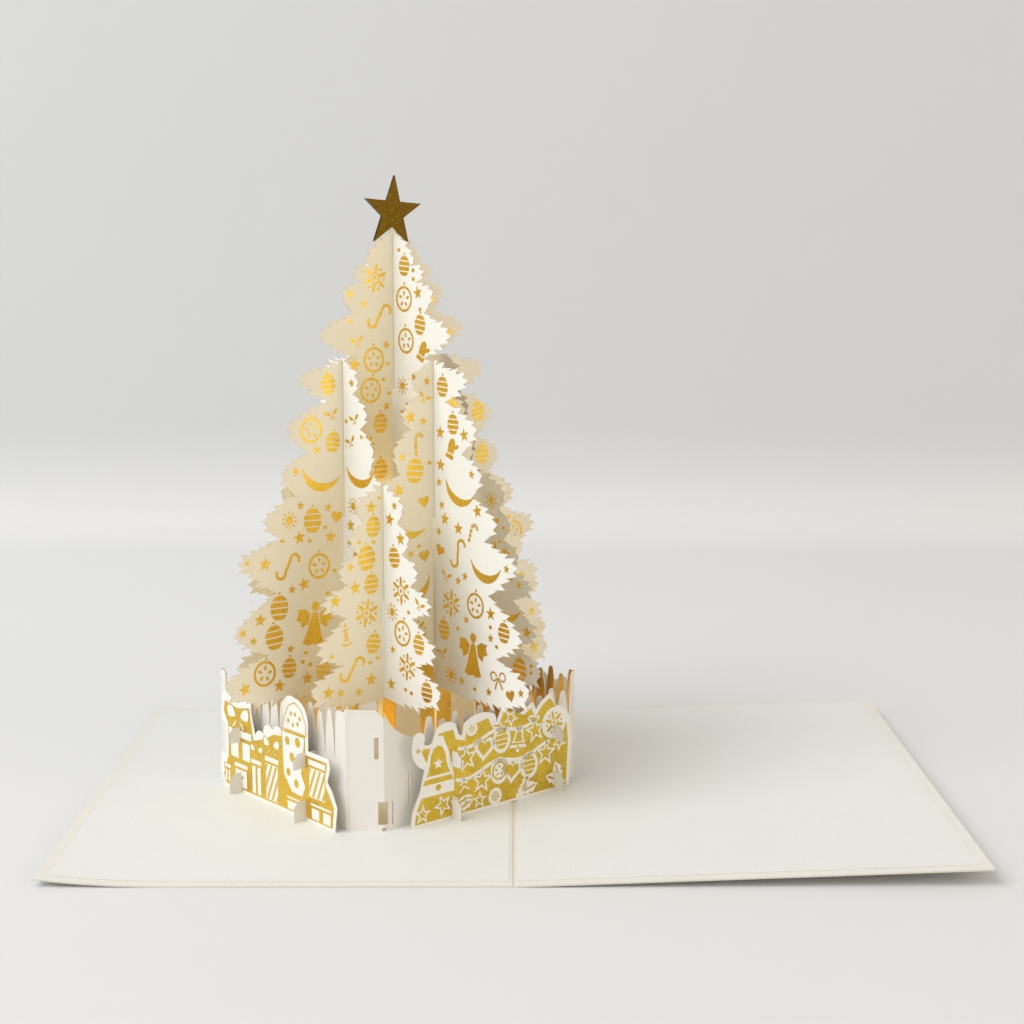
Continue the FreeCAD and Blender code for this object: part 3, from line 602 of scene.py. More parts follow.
def scroll(radius):
    """Two opposed curls joined by a stem."""
    upper = arc(radius * 0.42, radius * 0.52, radius * 0.34, -20, 200)
    stem = arc_between([upper[-1], (0.0, 0.0), (-upper[-1][0], -upper[-1][1])])
    lower = [(-x, -y) for x, y in reversed(upper)]
    return stroke(upper + stem[1:-1] + lower, radius * 0.2)


def cane(radius):
    """Hooked cane in short stripes."""
    path = scaled([(-0.35, -0.9), (-0.35, -0.5), (-0.35, -0.1), (-0.35, 0.3)], radius)
    path += arc(0, radius * 0.35, radius * 0.35, 170, 0, 6)
    loops = []
    for (x0, y0), (x1, y1) in zip(path, path[1:]):
        short = (x0 + (x1 - x0) * 0.78, y0 + (y1 - y0) * 0.78)
        loops += stroke([(x0, y0), short], radius * 0.3)
    return loops


def rosette(radius):
    """Six petals with dots between and a middle."""
    loops = dot(0, 0, radius * 0.13, 10)
    for turn in range(90, 450, 60):
        loops += oval(*polar(radius * 0.55, turn), radius * 0.32, radius * 0.12,
                      math.radians(turn), 12)
        loops += dot(*polar(radius * 0.68, turn + 30), radius * 0.09, 8)
        loops += dot(*polar(radius * 0.3, turn + 30), radius * 0.07, 8)
    return loops


def bell(radius):
    """Bell with a gap above its rim and a clapper."""
    body = [(0.0, 0.95), (0.22, 0.86), (0.36, 0.6), (0.42, 0.2), (0.52, -0.1), (0.62, -0.25)]
    rim = [(0.68, -0.36), (0.78, -0.58)]
    loops = [mirrored(scaled(side, radius)) for side in (body, rim)]
    return loops + oval(0, -0.78 * radius, 0.15 * radius, 0.13 * radius, 0.0, 10)


def angel(radius):
    """Plain winged figure in one colour: head, robe and two wings."""
    robe = scaled([(0.0, 0.42), (0.12, 0.36), (0.2, 0.1), (0.34, -0.45), (0.5, -0.8),
                   (0.2, -0.9), (0.0, -0.82)], radius)
    wing = scaled([(0.2, 0.34), (0.45, 0.52), (0.82, 0.5), (0.74, 0.3), (0.86, 0.12),
                   (0.62, 0.02), (0.58, -0.2), (0.3, -0.06)], radius)
    loops = [robe + [(-x, y) for x, y in reversed(robe[:-1])]]
    loops += oval(0, 0.62 * radius, 0.17 * radius, 0.19 * radius, 0.0, 14)
    return loops + [wing[::-1], [(-x, y) for x, y in wing]]


def bow(radius):
    """Ribbon bow."""
    loops = dot(0, 0, radius * 0.16, 10)
    for side in (-1, 1):
        curl = arc(radius * 0.55, radius * 0.2, radius * 0.36, 200, 540, 16)
        tail = scaled([(0.1, -0.15), (0.32, -0.5), (0.46, -0.85)], radius)
        for path, width in ((curl, 0.15), (tail, 0.18)):
            loops += stroke([(side * x, y) for x, y in path], radius * width)
    return loops


def leaf_pair(radius):
    """Two pointed leaves and three berries."""
    loops = []
    for side in (-1, 1):
        path = [(side * 0.12, -0.1), (side * 0.5, 0.12), (side * 0.95, 0.42)]
        loops += stroke(arc_between(scaled(path, radius)), radius * 0.42, tapered=True)
    for x, y in scaled([(0, -0.25), (-0.2, -0.5), (0.2, -0.5)], radius):
        loops += dot(x, y, radius * 0.13, 9)
    return loops


def mitten(radius):
    """Mitten with a cuff."""
    hand = [(-0.45, -0.35), (0.35, -0.35), (0.42, 0.1), (0.8, 0.35), (0.85, 0.6), (0.62, 0.66),
            (0.36, 0.42), (0.3, 0.75), (0.0, 0.95), (-0.35, 0.75), (-0.48, 0.3)]
    return [scaled(loop, radius) for loop in (hand, rectangle(-0.55, -0.85, 0.45, -0.47))]


def heart(radius):
    """Heart."""
    turns = [2 * math.pi * step / 20 for step in range(20)]
    return [[(radius * 0.95 * math.sin(turn) ** 3,
              radius * (13 * math.cos(turn) - 5 * math.cos(2 * turn) - 2 * math.cos(3 * turn)
                        - math.cos(4 * turn)) / 17) for turn in turns]]


def candle(radius):
    """Candle in bands with a flame over a saucer."""
    bands = [[(-0.22, low), (0.22, low + 0.06), (0.22, low + 0.26), (-0.22, low + 0.2)]
             for low in (-0.62, -0.34, -0.06, 0.22)]
    flame = [(0.0, 1.0), (-0.16, 0.74), (-0.1, 0.58), (0.1, 0.58), (0.16, 0.74)]
    saucer = stroke(arc(0, -0.3 * radius, 0.62 * radius, 225, 315, 8), 0.16 * radius)
    return [scaled(band, radius) for band in bands] + saucer + [scaled(flame, radius)]


def fir(radius):
    """Small fir in three tiers on a trunk."""
    tiers = [[(-width, low), (0.0, low + 0.12), (width, low), (0.0, high)] for low, width, high
             in ((-0.66, 0.72, -0.12), (-0.1, 0.56, 0.36), (0.38, 0.38, 0.95))]
    return [scaled(loop, radius) for loop in [rectangle(-0.12, -0.95, 0.12, -0.7)] + tiers]


def ray_dot(radius):
    """Dot in a ring of short rays."""
    loops = dot(0, 0, radius * 0.45, 12)
    for turn in range(0, 360, 36):
        loops += stroke([polar(radius * 0.55, turn), polar(radius, turn)], radius * 0.16)
    return loops


def bead(radius):
    """Small flat dot."""
    return oval(0, 0, radius, radius * 0.8, 0.0, 10)


# Ornaments of the tree print, large ones first: builder, radius in mm, tries on each face,
# widest tilt and the share of the face's height up to which it is used
ORNAMENTS = [
    (angel, 9.2, 30, 0.1, 0.22),
    (crescent, 7.6, 50, 0.5, 0.75),
    (rosette, 5.8, 60, 0.3, 1.0),
    (scroll, 5.4, 60, 0.6, 1.0),
    (dotted_bauble, 4.6, 90, 0.2, 1.0),
    (banded_bauble, 4.3, 120, 0.2, 1.0),
    (bell, 4.6, 80, 0.3, 1.0),
    (mitten, 4.2, 80, 0.5, 1.0),
    (cane, 4.4, 90, 0.4, 1.0),
    (bow, 4.2, 90, 0.3, 1.0),
    (fir, 4.2, 90, 0.2, 1.0),
    (candle, 4.2, 90, 0.2, 1.0),
    (banded_bauble, 3.5, 300, 0.2, 1.0),
    (ray_dot, 3.2, 260, 0.3, 1.0),
    (leaf_pair, 3.2, 300, 0.5, 1.0),
    (heart, 2.5, 200, 0.5, 1.0),
    (star, 2.6, 1800, 0.3, 1.0),
    (star, 1.8, 1200, 0.3, 1.0),
    (bead, 0.9, 500, 0.0, 1.0),
]
# Bare paper beside a crossing, at the edge of the paper and under a slice's top, in millimetres
CROSSING_MARGIN = 0.8
EDGE_MARGIN = 0.6
BARE_TOP = 4


def counter_clockwise(loop):
    """Loop in the order that turns its face to the viewer."""
    area = sum(one[0] * two[1] - two[0] * one[1] for one, two in zip(loop, loop[1:] + loop[:1]))
    return loop if area > 0 else loop[::-1]


def used_up(work, name):
    """Mesh with the contents of a bmesh, which is freed."""
    mesh = bpy.data.meshes.new(name)
    work.to_mesh(mesh)
    work.free()
    return mesh


def flat_mesh(name, loops, place):
    """Mesh of flat faces from loops in millimetres; place gives the spot of a point, in metres."""
    work = bmesh.new()
    for loop in loops:
        work.faces.new([work.verts.new(place(*point)) for point in counter_clockwise(loop)])
    work.normal_update()
    bmesh.ops.triangulate(work, faces=work.faces[:])
    return used_up(work, name)


def linked(name, data, spot=(0.0, 0.0, 0.0)):
    """New object at a spot in the scene."""
    item = bpy.data.objects.new(name, data)
    item.location = spot
    bpy.context.scene.collection.objects.link(item)
    return item


def keep(name, mesh, material, slot):
    """Link a finished piece, give it the material if its mesh has none, and ride it on the root;
    the slot is not used.
    """
    piece = linked(name, mesh)
    if not mesh.materials:
        mesh.materials.append(material)
    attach(piece, "root")


class PrintFace:
    """One broad face of an upright sheet: its middle line, the way it looks and its paper."""

    def __init__(self, name, origin, across, lift):
        self.name = name
        self.across = across
        self.normal = across.cross(UP)
        reach = span(name, self.normal)[1] - (origin - TREE).dot(self.normal)
        self.origin = origin + self.normal * (reach + lift)
        mesh = frame["nodes"][name].data
        self.solid = BVHTree.FromPolygons([vertex.co for vertex in mesh.vertices],
                                          [tuple(polygon.vertices) for polygon in mesh.polygons])

    def point(self, x, y, lift=0.0):
        """World place of a point of the face, given in millimetres along it and up."""
        return self.origin + self.across * (x * MM) + UP * (y * MM) + self.normal * lift

    def has_paper(self, spots):
        """Tell whether every one of these spots has paper behind it."""
        return all(self.solid.ray_cast(self.point(x, y, PROBE), -self.normal, 2 * PROBE)[0]
                   is not None for x, y in spots)


def slice_faces(lift):
    """Both faces of the six slices, each with the end of its pieces' names."""
    for family, along, step in (("a", ALONG_A, ALONG_B), ("b", ALONG_B, ALONG_A)):
        for place in ("front", "middle", "rear"):
            name = "tree_slice_%s_%s" % (family, place)
            origin = TREE + step * (middle(name) - TREE).dot(step)
            for side, across in (("front", along), ("back", -along)):
                yield PrintFace(name, origin, across, lift), name + "_" + side


def scatter_ornaments(face, spacing, rng):
    """Places of the ornaments on one face: (x, y, turn, kind, radius), clear of edges and slots."""
    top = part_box(face.name)[1][2] / MM - BARE_TOP
    reach = max(abs(value) for value in span(face.name, face.across)) / MM
    placed = []
    for kind, (_, radius, tries, tilt, share) in enumerate(ORNAMENTS):
        for _ in range(tries):
            x = rng.uniform(-reach, reach)
            y = rng.uniform(PRINT_BASE + radius, PRINT_BASE + (top - PRINT_BASE) * share)
            if min(abs(x - line) for line in CROSSINGS) < radius + CROSSING_MARGIN:
                continue
            if any(math.hypot(x - other[0], y - other[1]) < radius + other[4] + spacing
                   for other in placed):
                continue
            if face.has_paper(arc(x, y, radius + EDGE_MARGIN, 0, 324, 9)):
                placed.append((x, y, rng.uniform(-tilt, tilt), kind, radius))
    return placed


def foil_print_tree(ornaments, material):
    """Geometry nodes: set an ornament on each point, turned and picked by its attributes."""
    tree, given, result = new_group(
        "foil print", [("Geometry", "Geometry", None), ("Size", "Float", 1.0),
                       ("Heading", "Float", 0.0)], [("Geometry", "Geometry")], "GeometryNodeTree")
    stock = node(tree, "GeometryNodeCollectionInfo", {
        "Collection": ornaments, "Separate Children": True, "Reset Children": True})
    kind = node(tree, "GeometryNodeInputNamedAttribute", {"Name": "kind"}, data_type="INT")
    turn = node(tree, "GeometryNodeInputNamedAttribute", {"Name": "turn"}, data_type="FLOAT")
    stand = node(tree, "ShaderNodeCombineXYZ", {"X": math.pi / 2, "Z": given["Heading"]})
    upright = node(tree, "FunctionNodeEulerToRotation", {0: stand.outputs[0]})
    scale = node(tree, "ShaderNodeCombineXYZ", dict.fromkeys("XYZ", given["Size"]))
    put = node(tree, "GeometryNodeInstanceOnPoints", {
        "Points": given["Geometry"], "Instance": stock.outputs[0], "Pick Instance": True,
        "Instance Index": kind.outputs["Attribute"], "Rotation": upright.outputs[0],
        "Scale": scale.outputs[0]})
    spin = node(tree, "ShaderNodeCombineXYZ", {"Z": turn.outputs["Attribute"]})
    twist = node(tree, "FunctionNodeEulerToRotation", {0: spin.outputs[0]})
    tilt = node(tree, "GeometryNodeRotateInstances", {
        "Instances": put.outputs["Instances"], "Rotation": twist.outputs[0], "Local Space": True})
    real = node(tree, "GeometryNodeRealizeInstances", {"Geometry": tilt.outputs["Instances"]})
    paint = node(tree, "GeometryNodeSetMaterial", {
        "Geometry": real.outputs["Geometry"], "Material": material})
    wire(tree, result, {"Geometry": paint.outputs["Geometry"]})
    return tree, given["Size"].identifier, given["Heading"].identifier


def print_on_face(tree, size_socket, heading_socket, face, spots):
    """Run the foil print tree on one face and return its mesh."""
    points = bpy.data.meshes.new("foil points")
    points.from_pydata([face.point(spot[0], spot[1]) for spot in spots], [], [])
    for name, kind, column in (("kind", "INT", 3), ("turn", "FLOAT", 2)):
        values = points.attributes.new(name, kind, "POINT")
        values.data.foreach_set("value", [spot[column] for spot in spots])
    holder = linked("foil points", points)
    modifier = holder.modifiers.new("foil print", "NODES")
    modifier.node_group = tree
    modifier[size_socket] = 1.0
    modifier[heading_socket] = math.atan2(face.across.y, face.across.x)
    graph = bpy.context.evaluated_depsgraph_get()
    mesh = bpy.data.meshes.new_from_object(holder.evaluated_get(graph))
    bpy.data.objects.remove(holder)
    bpy.data.meshes.remove(points)
    return mesh


# Printed scenes of the reliefs. A scene is a list of (ink, layer, loops): ink is "gold" or "paper",
# and a higher layer lies over a lower one.

def clipped(loop, x0, y0, x1, y1):
    """Part of a convex loop inside a rectangle."""
    for axis, limit, sign in ((0, x0, 1), (0, x1, -1), (1, y0, 1), (1, y1, -1)):
        kept = []
        for one, two in zip(loop, loop[1:] + loop[:1]):
            first = sign * (one[axis] - limit)
            second = sign * (two[axis] - limit)
            if first >= 0:
                kept.append(one)
            if first * second < 0:
                share = first / (first - second)
                kept.append((one[0] + (two[0] - one[0]) * share,
                             one[1] + (two[1] - one[1]) * share))
        loop = kept
    return [loop] if loop else []


def stripes(x0, y0, x1, y1):
    """Slanting stripes that fill a rectangle."""
    loops = []
    lean = STRIPE_SLOPE * (y1 - y0)
    start = x0 - lean
    for step in range(int((x1 - start + lean) / STRIPE_PITCH) + 1):
        foot = start + step * STRIPE_PITCH
        head = foot + lean
        band = [(foot, y0), (foot + STRIPE_WIDTH, y0), (head + STRIPE_WIDTH, y1), (head, y1)]
        loops += clipped(band, x0, y0, x1, y1)
    return loops


def spot_rows(x0, y0, x1, y1):
    """Rows of small spots that fill a rectangle, every other row moved aside."""
    loops = []
    for row in range(int((y1 - y0 - SPOT_INSET[1]) / SPOT_PITCH)):
        for column in range(int((x1 - x0 - SPOT_INSET[0]) / SPOT_PITCH)):
            loops += oval(x0 + SPOT_INSET[0] + column * SPOT_PITCH + (row % 2) * SPOT_SHIFT,
                          y0 + SPOT_INSET[1] + row * SPOT_PITCH, 0.55, 0.7, 0.0, 8)
    return loops


def outlined(loop, line):
    """Paper shape with a gold outline."""
    return [("paper", 2, [loop]), ("gold", 3, border(loop, line))]


def parcel(x0, y0, x1, y1, line, lid, filling):
    """Boxed present with a pattern; its lid, if any, takes a share of its height."""
    seam = y1 - (y1 - y0) * lid
    scene = outlined(rectangle(x0 + LID_REACH, y0, x1 - LID_REACH, seam), line)
    if lid:
        scene += outlined(rectangle(x0, seam, x1, y1), line)
    if filling == "ribbon":
        centre = (x0 + x1) / 2
        half = (x1 - x0) * RIBBON_SHARE
        loops = [rectangle(centre - half, y0 + line, centre + half, seam - line)]
    elif filling == "stripes":
        loops = stripes(x0 + 1.1, y0 + 0.7, x1 - 1.1, seam - 0.7)
    else:
        loops = spot_rows(x0, y0, x1, seam)
    return scene + [("gold", 4, loops)]


def ribbon_bow(x, y, radius, line):
    """Large ribbon bow in outline: two pointed loops, two tails and a knot."""
    scene = []
    for side in (-1, 1):
        for shape in (BOW_LOOP, BOW_TAIL):
            loop = [(x + side * px, y + py) for px, py in scaled(shape, radius)]
            scene += outlined(counter_clockwise(loop), line)
    return scene + [("gold", 4, oval(x, y, radius * 0.14, radius * 0.16, 0.0, 12))]


# Right halves of a ribbon bow of radius 1
BOW_LOOP = [(0.1, 0.0), (0.4, 0.42), (0.85, 0.56), (1.0, 0.2), (0.85, -0.18), (0.4, -0.16)]
BOW_TAIL = [(0.06, -0.1), (0.3, -0.24), (0.66, -0.62), (0.42, -0.7), (0.1, -0.3)]
# Patterns of the presents, in millimetres; the slope is sideways for each millimetre up
STRIPE_PITCH = 2.9
STRIPE_WIDTH = 1.2
STRIPE_SLOPE = 0.45
SPOT_PITCH = 2.6
SPOT_SHIFT = 0.9
SPOT_INSET = (2.2, 1.6)
LID_REACH = 0.5
# Half of a ribbon's width as a share of its present's
RIBBON_SHARE = 0.09
# Corners of the reliefs' outlines, in millimetres from the middle of the tree
GIFT_OUTLINE = [
    (-35.5, 0.0), (34.2, 0.0), (35.6, 9.6), (30.0, 17.5), (31.8, 22.7), (31.0, 25.8), (18.9, 25.8),
    (19.0, 35.5), (15.8, 41.0), (11.4, 42.9), (6.6, 41.0), (3.9, 36.0), (3.2, 29.4), (-3.0, 28.6),
    (-8.8, 25.6), (-14.2, 24.0), (-16.4, 35.2), (-25.8, 33.4), (-35.4, 35.0), (-36.8, 28.5),
    (-33.8, 24.3), (-34.0, 13.0), (-37.8, 5.0)]
BANNER_OUTLINE = [
    (-31.8, 0.0), (41.5, 0.0), (42.6, 17.5), (41.9, 25.4), (32.4, 37.8), (27.2, 34.8), (25.3, 32.6),
    (23.6, 35.8), (19.5, 33.4), (11.2, 36.6), (8.8, 35.8), (6.2, 30.6), (3.7, 35.3), (-8.2, 33.6),
    (-9.0, 29.6), (-10.4, 30.0), (-11.8, 34.2), (-20.4, 33.6), (-22.3, 29.2), (-26.0, 29.7),
    (-30.4, 31.0), (-25.6, 20.6), (-27.5, 13.3), (-31.0, 6.3)]
# Bare paper round the gold ground, in millimetres
PAPER_RIM = 1.7


def gift_scene(line):
    """Presents stacked in front of the ring, with a spotted stocking between them."""
    scene = [("gold", 1, [inset(GIFT_OUTLINE, PAPER_RIM)])]
    scene += outlined(rectangle(-32.4, 20.6, -16.4, 24.2), line)
    scene += ribbon_bow(-25.4, 28.6, 7.6, line)
    scene += parcel(-31.4, 12.6, -17.0, 20.0, line, 0.0, "ribbon")
    scene += parcel(-35.6, 2.2, -30.6, 9.6, line, 0.3, "ribbon")
    scene += parcel(-28.8, 2.0, -19.4, 11.6, line, 0.24, "spots")
    scene += parcel(-17.6, 2.0, -10.2, 15.4, line, 0.18, "ribbon")
    scene += ribbon_bow(-13.6, 18.6, 4.2, line)
    scene += parcel(-8.6, 2.0, 0.8, 18.6, line, 0.16, "stripes")
    scene += ribbon_bow(-3.9, 22.6, 5.4, line)
    stocking = [(2.6, 30.2), (3.4, 14.2), (8.4, 8.6), (15.0, 8.0), (17.4, 12.4), (14.8, 16.8),
                (15.6, 20.6), (17.2, 30.2)]
    cuff = [(2.8, 30.6), (18.0, 30.6), (18.0, 34.8), (15.2, 39.6), (11.2, 41.6), (7.4, 40.0),
            (4.8, 35.8)]
    scene += outlined(stocking, line) + outlined(cuff, line)
    for x, y, size in ((6.3, 26.8, 1.6), (12.6, 27.4, 1.8), (9.0, 21.4, 1.7), (13.2, 19.2, 1.4),
                       (6.6, 15.6, 1.5), (11.4, 12.4, 1.6)):
        scene.append(("gold", 4, oval(x, y, size * 0.85, size, 0.2, 14)))
    for x, y in ((7.2, 34.2), (10.0, 33.2), (12.8, 34.0), (8.8, 37.0), (11.4, 37.2), (14.2, 36.2)):
        scene.append(("gold", 4, oval(x, y, 0.75, 0.85, 0.0, 8)))
    scene += parcel(18.4, 9.4, 29.4, 23.6, line, 0.2, "stripes")
    scene += parcel(19.6, 1.8, 32.6, 8.2, line, 0.26, "ribbon")
    scene += parcel(4.8, 1.8, 13.8, 7.2, line, 0.28, "spots")
    return scene


def haloed(make, radius, rim, x, y, turn):
    """Gold ornament on a paper ground of its own outline, a rim wider."""
    return [("paper", 2, moved(make(radius + rim), x, y, turn)),
            ("gold", 3, moved(make(radius), x, y, turn))]


def leaf_spray(x, y, length, turn, line):
    """Paper leaf with scalloped sides and a gold vein."""
    sides = []
    for step in range(9):
        share = step / 8
        scallop = 0.55 + 0.45 * abs(math.cos(share * math.pi * 3))
        sides.append((length * share, length * 0.3 * math.sin(math.pi * share) * scallop))
    leaf = sides + [(px, -py) for px, py in reversed(sides[1:-1])]
    leaf, vein = moved([leaf, [(length * 0.2, 0.0), (length * 0.85, 0.0)]], x, y, turn)
    return [("paper", 2, [leaf]), ("gold", 3, stroke(vein, line))]


def banner_scene(line):
    """Gold ground with two strings of hanging ornaments, a bell, leaves and flowers."""
    scene = [("gold", 1, [inset(BANNER_OUTLINE, PAPER_RIM)])]
    drop = 3.9
    for start, end, level, makers in (
            (-11, 29, 26.6, (star, heart, banded_bauble, bell, star)),
            (-12, 33, 15.4, (fir, star, dotted_bauble, heart, banded_bauble, star))):
        string = [(x, level + 1.3 * math.sin(x * 0.25) + x * 0.09) for x in range(start, end, 2)]
        scene.append(("paper", 2, stroke(string, 1.3)))
        for index, make in enumerate(makers):
            x, y = string[2 + round(index * (len(string) - 4) / (len(makers) - 1))]
            y -= drop
            if make in (banded_bauble, dotted_bauble):
                scene.append(("paper", 2, oval(x, y, 4.2, 5.0, 0.0, 20)))
                scene.append(("gold", 3, moved(make(3.4), x, y)))
            else:
                scene += haloed(make, 3.3, 1.9, x, y, 0.12 - 0.24 * (index % 2))
    scene.append(("paper", 2, [[(-27.0, 10.6), (-12.6, 10.6), (-12.8, 16.4), (-14.8, 25.0),
                                (-17.6, 31.2), (-21.2, 31.2), (-24.0, 25.0), (-25.8, 17.4)]]))
    scene.append(("gold", 3, moved(bell(8.6), -19.6, 19.8)))
    scene.append(("paper", 4, moved(star(2.2), -19.6, 21.6)))
    for x, y, radius in ((34.0, 26.0, 5.2), (6.0, 4.4, 2.4), (-4.6, 31.0, 1.8)):
        scene.append(("paper", 2, dot(x, y, radius + 0.7, 20)))
        scene.append(("gold", 3, moved(rosette(radius), x, y, 0.2)))
    for x, y, size in ((-26.6, 4.8, 2.2), (-17.6, 6.4, 2.7), (-28.2, 27.6, 1.2), (13.4, 31.6, 2.0),
                       (36.6, 18.4, 2.2), (-1.2, 4.6, 1.9)):
        scene += haloed(star, size, 1.5, x, y, x * 0.05)
    for x, y, length, turn in (
            (18.0, 3.0, 8.4, 0.25), (18.0, 3.0, 7.0, 1.0), (37.2, 3.4, 8.4, 1.9),
            (37.2, 3.4, 8.0, 2.7), (-11.0, 3.0, 7.4, 0.35), (-11.4, 3.2, 6.0, 1.9),
            (21.0, 30.0, 5.6, -0.2), (9.6, 29.6, 5.0, 3.0)):
        scene += leaf_spray(x, y, length, turn, line * 1.6)
    for x, y in ((17.6, 3.0), (37.4, 3.6), (-11.0, 3.2)):
        for turn in (90, 210, 330):
            scene.append(("paper", 4, moved(dot(*polar(1.1, turn), 1.0, 12), x, y)))
    return scene


def print_scene(name, face, scene, materials, step):
    """One piece for the gold and one for the bare paper of a printed scene."""
    for ink, slot in (("gold", "gold_foil"), ("paper", "relief_paper")):
        loops = [[(x, y, layer * step) for x, y in loop]
                 for own, layer, group in scene if own == ink for loop in group]
        piece = name + "_" + ink
        keep(piece, flat_mesh(piece, loops, face.point), materials[ink], slot)


# Operators

class CARD_OT_papers(bpy.types.Operator):
    """Dress the cover, liners, tree, fence, reliefs and spacers in paper"""
    bl_idname = "card.papers"
    bl_label = "Papers"

    def execute(self, context):
        looks = context.scene.card_paper
        dress("card_cover", paper_material("cover card", looks.cover, [UP], looks.board_edge,
                                           0.05, 0.07))
        dress("liner_", paper_material("liner paper", looks.liner, [UP], looks.board_edge, 0.035))
        for start, name, colour, ways in (
                # The A slices take the creamier paper: painted warm bounce light on their shaded
                # faces
                ("tree_slice_a", "tree paper a", looks.tree_warm, [ALONG_B]),
                ("tree_slice_b", "tree paper b", looks.tree, [ALONG_A]),
                ("relief_gifts", "relief paper a", looks.relief, [ALONG_A]),
                ("relief_banner", "relief paper b", looks.relief, [ALONG_B]),
                ("spacer_banner", "spacer paper a", looks.fence, [ALONG_A]),
                ("spacer_gifts", "spacer paper b", looks.fence, [ALONG_B]),
                ("fence_", "fence paper", looks.fence, [ALONG_A, ALONG_B, ACROSS_CORNERS])):
            dress(start, paper_material(name, colour, ways, looks.cut_edge))
        return {"FINISHED"}


class CARD_OT_star(bpy.types.Operator):
    """Dress the star in foil darkened with painted shade and painted reflection"""
    bl_idname = "card.star"
    bl_label = "Star"

    def execute(self, context):
        # The star's gold is darkened: painted shade and painted reflection
        gold = context.scene.card_foil.star_gold
        dress("star_topper", foil_material("star foil", gold, unevenness=0.5, glint_share=0.1))
        return {"FINISHED"}


class CARD_OT_tree_foil(bpy.types.Operator):
    """Print gold ornaments on both faces of the six slices"""
    bl_idname = "card.tree_foil"
    bl_label = "Tree foil"

    def execute(self, context):
        looks = context.scene.card_foil
        gold = foil_material("gold foil", looks.gold)
        ornaments = bpy.data.collections.new("foil ornaments")
        for number, ornament in enumerate(ORNAMENTS):
            name = "ornament_%02d" % number
            mesh = flat_mesh(name, ornament[0](ornament[1]), lying)
            ornaments.objects.link(bpy.data.objects.new(name, mesh))
        tree, size_socket, heading_socket = foil_print_tree(ornaments, gold)
        rng = random.Random(looks.seed)
        for face, ending in slice_faces(looks.lift):
            placed = scatter_ornaments(face, looks.spacing / MM, rng)
            mesh = print_on_face(tree, size_socket, heading_socket, face, placed)
            keep("foil_" + ending, mesh, gold, "gold_foil")
        for item in list(ornaments.objects):
            bpy.data.objects.remove(item)
        bpy.data.collections.remove(ornaments)
        return {"FINISHED"}


class CARD_OT_stem_foil(bpy.types.Operator):
    """Cover the slices' stems, beside the crossings and below the branches, in foil"""
    bl_idname = "card.stem_foil"
    bl_label = "Stem foil"

    def execute(self, context):
        looks = context.scene.card_foil
        gold = foil_material("stem foil", looks.stem_gold, unevenness=0.3, metallic=0.2)
        rim = looks.stem_rim / MM
        band = looks.stem_band / MM
        # The whole stem, else its upper part, else its lower part, wherever paper fills it
        low = PRINT_BASE - 4.0
        top = PRINT_BASE + 8.0
        heights = ((rim, top), (PRINT_BASE - 2.0, top), (rim, low))
        for face, ending in slice_faces(looks.lift / 2):
            loops = []
            for line in CROSSINGS:
                for side in (-1, 1):
                    near, far = sorted((line + side * rim, line + side * band))
                    for foot, head in heights:
                        corners = rectangle(near, foot, far, head)
                        if face.has_paper(corners + [((near + far) / 2, (foot + head) / 2)]):
                            loops.append(corners)
                            break
            if loops:
                mesh = flat_mesh("stem foil", loops, face.point)
                keep("stem_" + ending, mesh, gold, "gold_foil")
        return {"FINISHED"}


class CARD_OT_relief_print(bpy.types.Operator):
    """Print the presents and the banner on the four reliefs"""
    bl_idname = "card.relief_print"
    bl_label = "Relief print"

    def execute(self, context):
        looks = context.scene.card_foil
        light = foil_material("gift foil", looks.gold, unevenness=0.24)
        # The banner's foil is a darker copy of the gifts' foil: painted shade
        shaded_gold = foil_material("banner foil", looks.banner_gold, unevenness=0.5)
        for kind, along, drawing, gold in (("gifts", ALONG_B, gift_scene, light),
                                           ("banner", ALONG_A, banner_scene, shaded_gold)):
            for place, across in (("front", along), ("rear", -along)):
                name = "relief_%s_%s" % (kind, place)
                paper = frame["nodes"][name].material_slots[0].material
                print_scene("print_%s_%s" % (kind, place), PrintFace(name, TREE, across, 0.0),
                            drawing(looks.line / MM), {"gold": gold, "paper": paper},
                            looks.lift / 2)
        return {"FINISHED"}


class CARD_OT_lining(bpy.types.Operator):
    """Line the ring's inner faces: streaky foil with painted dark reflections on the plain walls,
    and warm cream, a painted glow, on the rest
    """
    bl_idname = "card.lining"
    bl_label = "Lining"

    def execute(self, context):
        looks = context.scene.card_foil
        papers = context.scene.card_paper
        # Foil on the plain inner walls, darkened in streaks as painted reflections
        streaky = lining_material("lining foil", looks.lining_gold)
        # Warm cream on the other inner faces: a painted glow
        cream = paper_material("lining paper", papers.inside, [ALONG_A, ALONG_B, ACROSS_CORNERS],
                               papers.cut_edge, 0.08)
        for place in ("front", "rear"):
            self.line("streaks", place, [ALONG_A], streaky, "gold_foil", looks.lift)
            self.line("cream", place, [ALONG_B, ACROSS_CORNERS], cream, "fence_paper", looks.lift)
        return {"FINISHED"}

    @staticmethod
    def line(name, place, directions, material, slot, lift):
        """Copy the faces of a fence that look inwards along given directions, a lift off it."""
        work = bmesh.new()
        work.from_mesh(frame["nodes"]["fence_" + place].data)
        spare = []
        for face in work.faces:
            broad = any(abs(face.normal.dot(way)) > 0.99 for way in directions)
            inward = face.normal.dot(face.calc_center_median() - TREE) < -INNER_WALL
            if not (broad and inward):
                spare.append(face)
        bmesh.ops.delete(work, geom=spare, context="FACES")
        for vertex in work.verts:
            vertex.co += vertex.link_faces[0].normal * lift
        mesh = used_up(work, name + "_" + place)
        mesh.materials.clear()
        keep("lining_%s_%s" % (name, place), mesh, material, slot)


